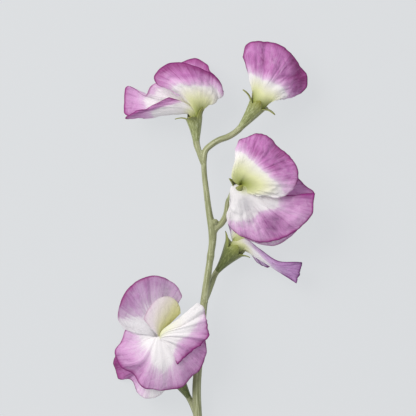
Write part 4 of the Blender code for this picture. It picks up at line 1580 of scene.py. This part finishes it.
LOW_RIGHT = Blossom(
    stance=Stance(throat=(9.5, 14.3, 9.0), axis=(0.6, 0.79, 0.1), back=(-0.8, 0.6, 0.0), rise=1.8),
    calyx=Calyx(
        node="calyx_low_right", length=12.0, turn=20.0, mouth_radius=4.6, flare=1.5,
        teeth=(
            Tooth(6.0, 25.0, 25.0), Tooth(3.5, 5.0, 20.0), Tooth(4.0, 40.0, 40.0), Tooth(4.0, 30.0, 40.0),
            Tooth(5.0, 50.0, 30.0),
        ),
        skin=DARK_CALYX_SKIN,
    ),
    petals=(
        standard(
            node="standard_low_right", tissue=LAVENDER_WING, seed=13.0,
            flush=Flush(green=(0.7,), start=(0.4,), full=(1.0,), depth=(0.5,)),
            ribs=(
                ((-1.8, 3.4, 1), (-2.6, 6.6, 1.5), (-3.6, 10.5, 0)),
                ((-1, 4.2, 1.8), (-1, 8.4, 2.5), (-2, 15, -1)),
                ((0.2, 4.7, 2.4), (1.8, 9.4, 3), (3, 18, -2)),
                ((1.6, 4.8, 2.7), (4.8, 9.4, 3.2), (9.5, 17.5, -3)),
                ((3, 4.6, 2.8), (7.4, 8.2, 3), (15.5, 14, -4.5)),
                ((4.2, 4, 2.6), (9.4, 6.4, 2.4), (19.5, 9.5, -5.5)),
                ((5, 3.2, 2.2), (10.2, 4.4, 1.4), (19, 4.5, -6)),
            ),
        ),
        wing(
            node="wing_near_low_right", turn=90.0, arc=140.0, ring=3.0, tissue=LAVENDER_WING, seed=14.0,
            flush=Flush(
                green=(0.3, 0.35, 0.4, 0.35), start=(0.0, 0.2, 0.4, 0.45), full=(1.0, 1.05, 1.1, 1.1),
                depth=(0.9, 1.0, 1.1), stains_and_shade=((0.05, 0.97, 0.08, 0.1, 0.4), (0.6, 1.0, 0.3, 0.04, 0.3)),
            ),
            ruffle=Ruffle(wave=0.3, waves=2.0, pleat=0.03, pleats=8, crumple=0.3, nibble=0.4),
            ribs=(
                ((2.6, 3.8, 2.4), (10, -0.8, 3), (18, -6, 3.6), (26.5, -6.1, 5)),
                ((3, 2.4, 3), (9.6, -1.8, 3.4), (17.6, -7.2, 4), (27.6, -6.5, 4.5)),
                ((3.2, 1, 3), (9, -2.6, 3.4), (17, -8.2, 3.6), (27.4, -10.1, 3)),
                ((3.2, -0.3, 2.4), (8.2, -3.3, 2.6), (16, -8.6, 2.4), (26.6, -13, 2)),
                ((3, -1.4, 1.4), (7.4, -4, 1.4), (14.6, -8.4, 1.2), (25.6, -15.5, 1)),
            ),
        ),
        wing(
            node="wing_far_low_right", turn=270.0, tissue=LAVENDER_WING, seed=15.0,
            flush=Flush(
                green=(0.4,), start=(0.45,), full=(1.1,), depth=(0.4, 0.45, 0.3),
                stains_and_shade=((0.45, 1.0, 0.3, 0.06, 0.4),),
            ),
            ribs=(
                ((5.5, -2.5, -2), (9, -6.8, -3.5)), ((6.5, -2.7, -2.5), (11.6, -8.3, -4.5)),
                ((7, -2.9, -3), (14.2, -8.8, -5)), ((7.2, -2.9, -3), (14.8, -7.4, -5)),
                ((7.2, -2.6, -3), (14, -5.4, -5.5)), ((6.5, -1.2, -3.5), (12, -3.4, -6)),
            ),
        ),
        keel(
            node="keel_low_right", turn=180.0, seed=16.0,
            flush=Flush(green=(0.7,), start=(0.75,), full=(1.2,), depth=(0.4,)),
            ribs=(
                ((5.6, 0.6, -0.8), (12, -3, -1.5)), ((5.9, -0.2, -0.6), (13.4, -4.2, -1.2)),
                ((6, -1, -0.5), (14, -5.2, -1)), ((5.8, -1.8, -0.7), (13.4, -6.2, -1.2)),
                ((5, -2.4, -1), (12, -6.8, -1.6)),
            ),
        ),
    ),
)

LOW_LEFT = Blossom(
    stance=Stance(
        throat=(-17.4, -37.8, 13.4), axis=(-0.45, 0.78, 0.44), back=(-0.4, 0.5, -0.7), rise=2.7,
    ),
    calyx=Calyx(
        node="calyx_low_left", length=12.5, turn=50.0,
        teeth=(Tooth(4.2, 20.0, 60.0),) * 5,
        skin=DARK_CALYX_SKIN,
    ),
    petals=(
        standard(
            node="standard_low_left", tissue=FADED_STANDARD, seed=17.0,
            flush=Flush(
                green=(0.6, 0.6, 0.5, 0.4, 0.5, 0.55),
                start=(0.85, 0.68, 0.54, 0.48, 0.48, 0.52, 0.58, 0.65),
                full=(1.5, 1.25, 1.05, 1.0, 1.0, 1.05, 1.15, 1.25),
                depth=(0.2, 0.5, 0.66, 0.6, 0.5, 0.48, 0.5, 0.35),
                stains_and_shade=(
                    (0.62, 0.93, 0.1, 0.06, 0.2), (0.25, 0.95, 0.12, 0.08, 0.25),
                    (0.45, 1.0, 0.12, 0.04, 0.35),
                ),
                fades=((0.45, 0.7, 0.12, 0.12, 0.25), (0.75, 0.8, 0.1, 0.12, 0.2)),
            ),
            ruffle=Ruffle(wave=0.6, waves=3.0, pleat=0.2, pleats=18, crumple=0.9, onset=0.55),
            ribs=(
                ((-8.8, 15.2, 8.5), (-14.3, 15.9, 8), (-20.2, 17.7, 7)),
                ((-9, 16.6, 8), (-16, 18.9, 6.5), (-22.8, 21.8, 5)),
                ((-8.9, 18, 7.5), (-15.2, 22.7, 5.5), (-22.1, 27.7, 4)),
                ((-8.4, 19.3, 7), (-13.5, 26.4, 5), (-18.9, 34, 4)),
                ((-7.6, 20.6, 7), (-11, 29.4, 5), (-13.1, 38.8, 4)),
                ((-6.3, 21.4, 7), (-7.2, 30.6, 5), (-7, 40.2, 5)),
                ((-5.1, 21.4, 7), (-3.8, 30.2, 5), (-1.7, 38.7, 5)),
                ((-3.8, 21, 7), (-1.3, 28.5, 5), (2.8, 34.8, 6)),
                ((-3, 20.1, 7), (0.4, 26.4, 5.4), (4.2, 31.4, 6)),
                ((-3, 19, 7.2), (0.2, 24, 6.4), (2.8, 28.4, 7)),
            ),
        ),
        wing(
            node="wing_left_low_left", turn=155.0, seed=18.0,
            flush=Flush(
                green=(0.5,), start=(0.62, 0.55, 0.5, 0.5, 0.55, 0.6, 0.55, 0.5, 0.5, 0.5),
                full=(1.35, 1.2, 1.1, 1.1, 1.15, 1.2, 1.15, 1.1, 1.05, 1.05),
                depth=(0.6, 0.8, 0.85, 0.85, 0.8, 0.65, 0.75, 0.8, 0.75, 0.75),
                stains_and_shade=((0.27, 1.0, 0.1, 0.04, 0.3), (0.62, 1.0, 0.08, 0.05, 0.3)),
            ),
            ruffle=Ruffle(wave=1.2, waves=4.5, pleat=0.09, pleats=16, crumple=0.9, nibble=0.6, onset=0.6),
            ribs=(
                ((-8.6, 15.6, 6.6), (-13.6, 17, 5.5), (-18.6, 19, 4.5)),
                ((-8, 14.6, 7.6), (-14.8, 13, 6.6), (-21.2, 13.2, 5)),
                ((-7.4, 14.4, 8.6), (-15, 9.8, 7.8), (-24.2, 8, 5)),
                ((-6.8, 14.3, 9.4), (-13.4, 6.6, 8.8), (-22.8, 4.2, 4.4)),
                ((-6.4, 14.3, 9.9), (-11, 4.6, 9.8), (-17.2, -1, 4)),
                ((-5.8, 14.4, 10.3), (-7.8, 3.4, 10.4), (-11.6, -7.2, 4)),
                ((-5.3, 14.5, 10.5), (-4.8, 3.2, 10.6), (-5.6, -8.4, 4)),
                ((-4.8, 14.6, 10.7), (-1.2, 3.8, 10.5), (1, -7.6, 4.4)),
                ((-4.3, 14.7, 10.8), (2.4, 5.2, 10.2), (7.2, -3.8, 5)),
                ((-3.8, 14.6, 10.9), (5.4, 7.8, 9.8), (12.2, 0.6, 5.5)),
                ((-3.4, 14.4, 10.9), (7.2, 10.8, 9.4), (14.2, 7, 6.5)),
                ((-3.2, 14, 10.8), (8, 13.5, 9.2), (14.4, 13.8, 7)),
            ),
        ),
        wing(
            node="wing_right_low_left", turn=222.0, seed=19.0,
            flush=Flush(
                green=(0.9, 0.75, 0.6, 0.5), start=(0.92, 0.8, 0.74, 0.7, 0.68, 0.7, 0.74, 0.8),
                full=(1.35, 1.25, 1.15, 1.1, 1.05, 1.05, 1.08, 1.1),
                depth=(0.3, 0.4, 0.6, 0.8, 0.95, 1.0, 1.0, 0.9),
                stains_and_shade=((0.45, 1.0, 0.1, 0.04, 0.35), (0.75, 1.0, 0.12, 0.05, 0.5)),
            ),
            ruffle=Ruffle(
                wave=0.9, waves=4.5, pleat=0.07, pleats=14, crumple=0.5, nibble=0.9, onset=0.65,
            ),
            ribs=(
                ((-4.3, 17, 11.2), (3, 22.6, 13.2), (10.7, 29.2, 13)),
                ((-4.2, 16.2, 11.5), (4.6, 20.6, 13.8), (13.4, 26.9, 12.6)),
                ((-4.1, 15.5, 11.7), (5.4, 18.6, 14.2), (14.9, 20.4, 12.2)),
                ((-4, 14.8, 11.7), (5.4, 16.2, 14), (15.2, 15.6, 12.2)),
                ((-4, 14.2, 11.6), (4.2, 14, 13.2), (12, 11.6, 12)),
                ((-4.1, 13.6, 11.4), (2, 11.6, 12.2), (7.5, 8, 11.6)),
                ((-4.3, 13, 11), (-0.9, 8.6, 10.6), (2.4, 3, 10.8)),
            ),
        ),
        keel(
            node="keel_low_left", turn=300.0, seed=20.0,
            # The base green spreads ever further towards the side edge at the right and the lilac fades out
            # there: painted shade on that side of the hood, over the keel's own greenish base.
            flush=Flush(
                green=(0.8, 0.9, 1.0, 1.1, 1.3, 1.8, 2.8), start=(0.7, 0.7, 0.8, 1.0), full=(1.2,),
                depth=(0.4, 0.4, 0.2, 0.1, 0.0),
            ),
            ruffle=Ruffle(wave=0.1, pleat=0.0, crumple=0.15, nibble=0.1, onset=0.6),
            ribs=(
                ((-7.4, 17, 10.6), (-9.9, 19.6, 9.7), (-11.9, 22.1, 9)),
                ((-6.7, 17.4, 10.6), (-8.6, 22.9, 9.9), (-9.9, 26.4, 9)),
                ((-6.1, 17.6, 10.6), (-6.9, 24.6, 10.1), (-7.5, 29.2, 9)),
                ((-5.5, 17.6, 10.5), (-4.8, 25.2, 10.3), (-4.5, 31.2, 9)),
                ((-5, 17.5, 10.4), (-2.8, 25, 10.3), (-1.5, 31.6, 9)),
                ((-4.6, 17.2, 10.2), (-1.2, 23.8, 10.2), (1.3, 30.2, 9.2)),
                ((-4.3, 16.9, 10), (-0.2, 22.4, 10), (3.4, 27, 9.4)),
                ((-4.2, 16.6, 9.8), (0, 20.8, 9.8), (3.6, 24.4, 9.6)),
            ),
        ),
        wing(
            node="rear_petal_low_left", turn=85.0, arc=60.0, ring=2.7, tissue=STANDARD, seed=21.0,
            flush=Flush(
                green=(0.3,), start=(0.3,), full=(0.65, 0.65, 0.75, 0.9, 1.1),
                depth=(1.0, 1.0, 0.9, 0.45, 0.2, 0.12, 0.12),
                stains_and_shade=(
                    (0.05, 0.9, 0.15, 0.3, 0.8), (0.3, 0.8, 0.12, 0.15, 0.3),
                    (0.22, 1.0, 0.16, 0.06, 0.5),
                ),
            ),
            ribs=(
                ((-6.2, 5, 1.8), (-14.4, 6.6, -0.5), (-24.2, 5.9, -8.5)),
                ((-6.1, 4.4, 2.1), (-14.4, 4.6, -0.5), (-25.2, 2.9, -11)),
                ((-5.9, 3.8, 2.5), (-13.4, 1.6, 0), (-23.4, -3.8, -13.1)),
                ((-5.6, 3.3, 2.9), (-11.5, 0, 0.8), (-17.1, -5.2, -7.5)),
                ((-5.3, 2.9, 3.3), (-9.8, -1.4, 1.6), (-14.7, -9.7, -4.5)),
                ((-4.9, 2.5, 3.7), (-8.4, -2, 2.4), (-11, -12.2, -2.4)),
                ((-4.4, 2.1, 4.2), (-6.8, -2.2, 3.2), (-6.8, -11.4, -1.4)),
                ((-3.8, 1.8, 4.6), (-5.2, -1.9, 4), (-3, -8.4, -0.4)),
            ),
        ),
    ),
)

BLOSSOMS = {
    "top_left": TOP_LEFT,
    "top_right": TOP_RIGHT,
    "middle": MIDDLE,
    "low_right": LOW_RIGHT,
    "low_left": LOW_LEFT,
}

SPRAY_STEM = Stem(
    node="stem",
    peduncle=(
        (-4.8, -101.4, 1.9, 1.9), (-5.6, -83, 3.6, 1.86), (-6.5, -62, 6.6, 1.82), (-7.1, -45.5, 9, 1.75),
        (-5.7, -28.5, 11, 1.62), (-4.2, -11, 12.4, 1.5), (-2.3, 3, 13.4, 1.42), (-1.35, 9.2, 13.7, 1.42),
        (-1.2, 10.4, 13.75, 1.56), (-1.05, 11.6, 13.8, 1.42), (-0.5, 15.5, 14, 1.45),
        (-0.4, 21, 14.2, 1.7), (-1.7, 28, 14.5, 1.32), (-2.9, 37, 15, 1.15), (-3.9, 46, 15, 1.05),
        (-4.1, 52, 15, 1.1),
    ),
    pedicels={
        "top_left": ((-4.4, 49.5, 15, 1), (-5.9, 53.8, 14.8, 1.08)),
        "top_right": (
            (-4.1, 50, 15, 1.1), (-3.2, 55.2, 15, 1.2), (-0.8, 57.4, 14.8, 1.22), (2.2, 59.3, 14.2, 1.22),
            (6, 60.7, 13.6, 1.24), (8.8, 62.3, 13.2, 1.24),
        ),
        "middle": (
            (-0.6, 19, 14.2, 1.2), (1.2, 22.3, 14.5, 1.26), (3.4, 24.2, 15, 1.24),
            (5.1, 27.2, 15.8, 1.24),
        ),
        "low_right": ((-3.2, -8, 12.4, 0.95), (-1.9, -4.5, 12, 1.05), (-0.7, -1.1, 10.7, 1.12)),
        "low_left": ((-6.8, -60, 7, 1), (-7.6, -56.5, 7.2, 1.1)),
    },
    scars=((0.75, 24.8, 15.3, 1.35), (-3, -9, 13.4, 0.8)),
)


def main() -> None:
    """Build the spray and its stage."""
    logging.basicConfig(level=logging.INFO, format="%(message)s")
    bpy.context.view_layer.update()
    for blossom in BLOSSOMS.values():
        blossom.build()
    SPRAY_STEM.build(BLOSSOMS)
    Stage().build()


if __name__ == "__main__":
    main()
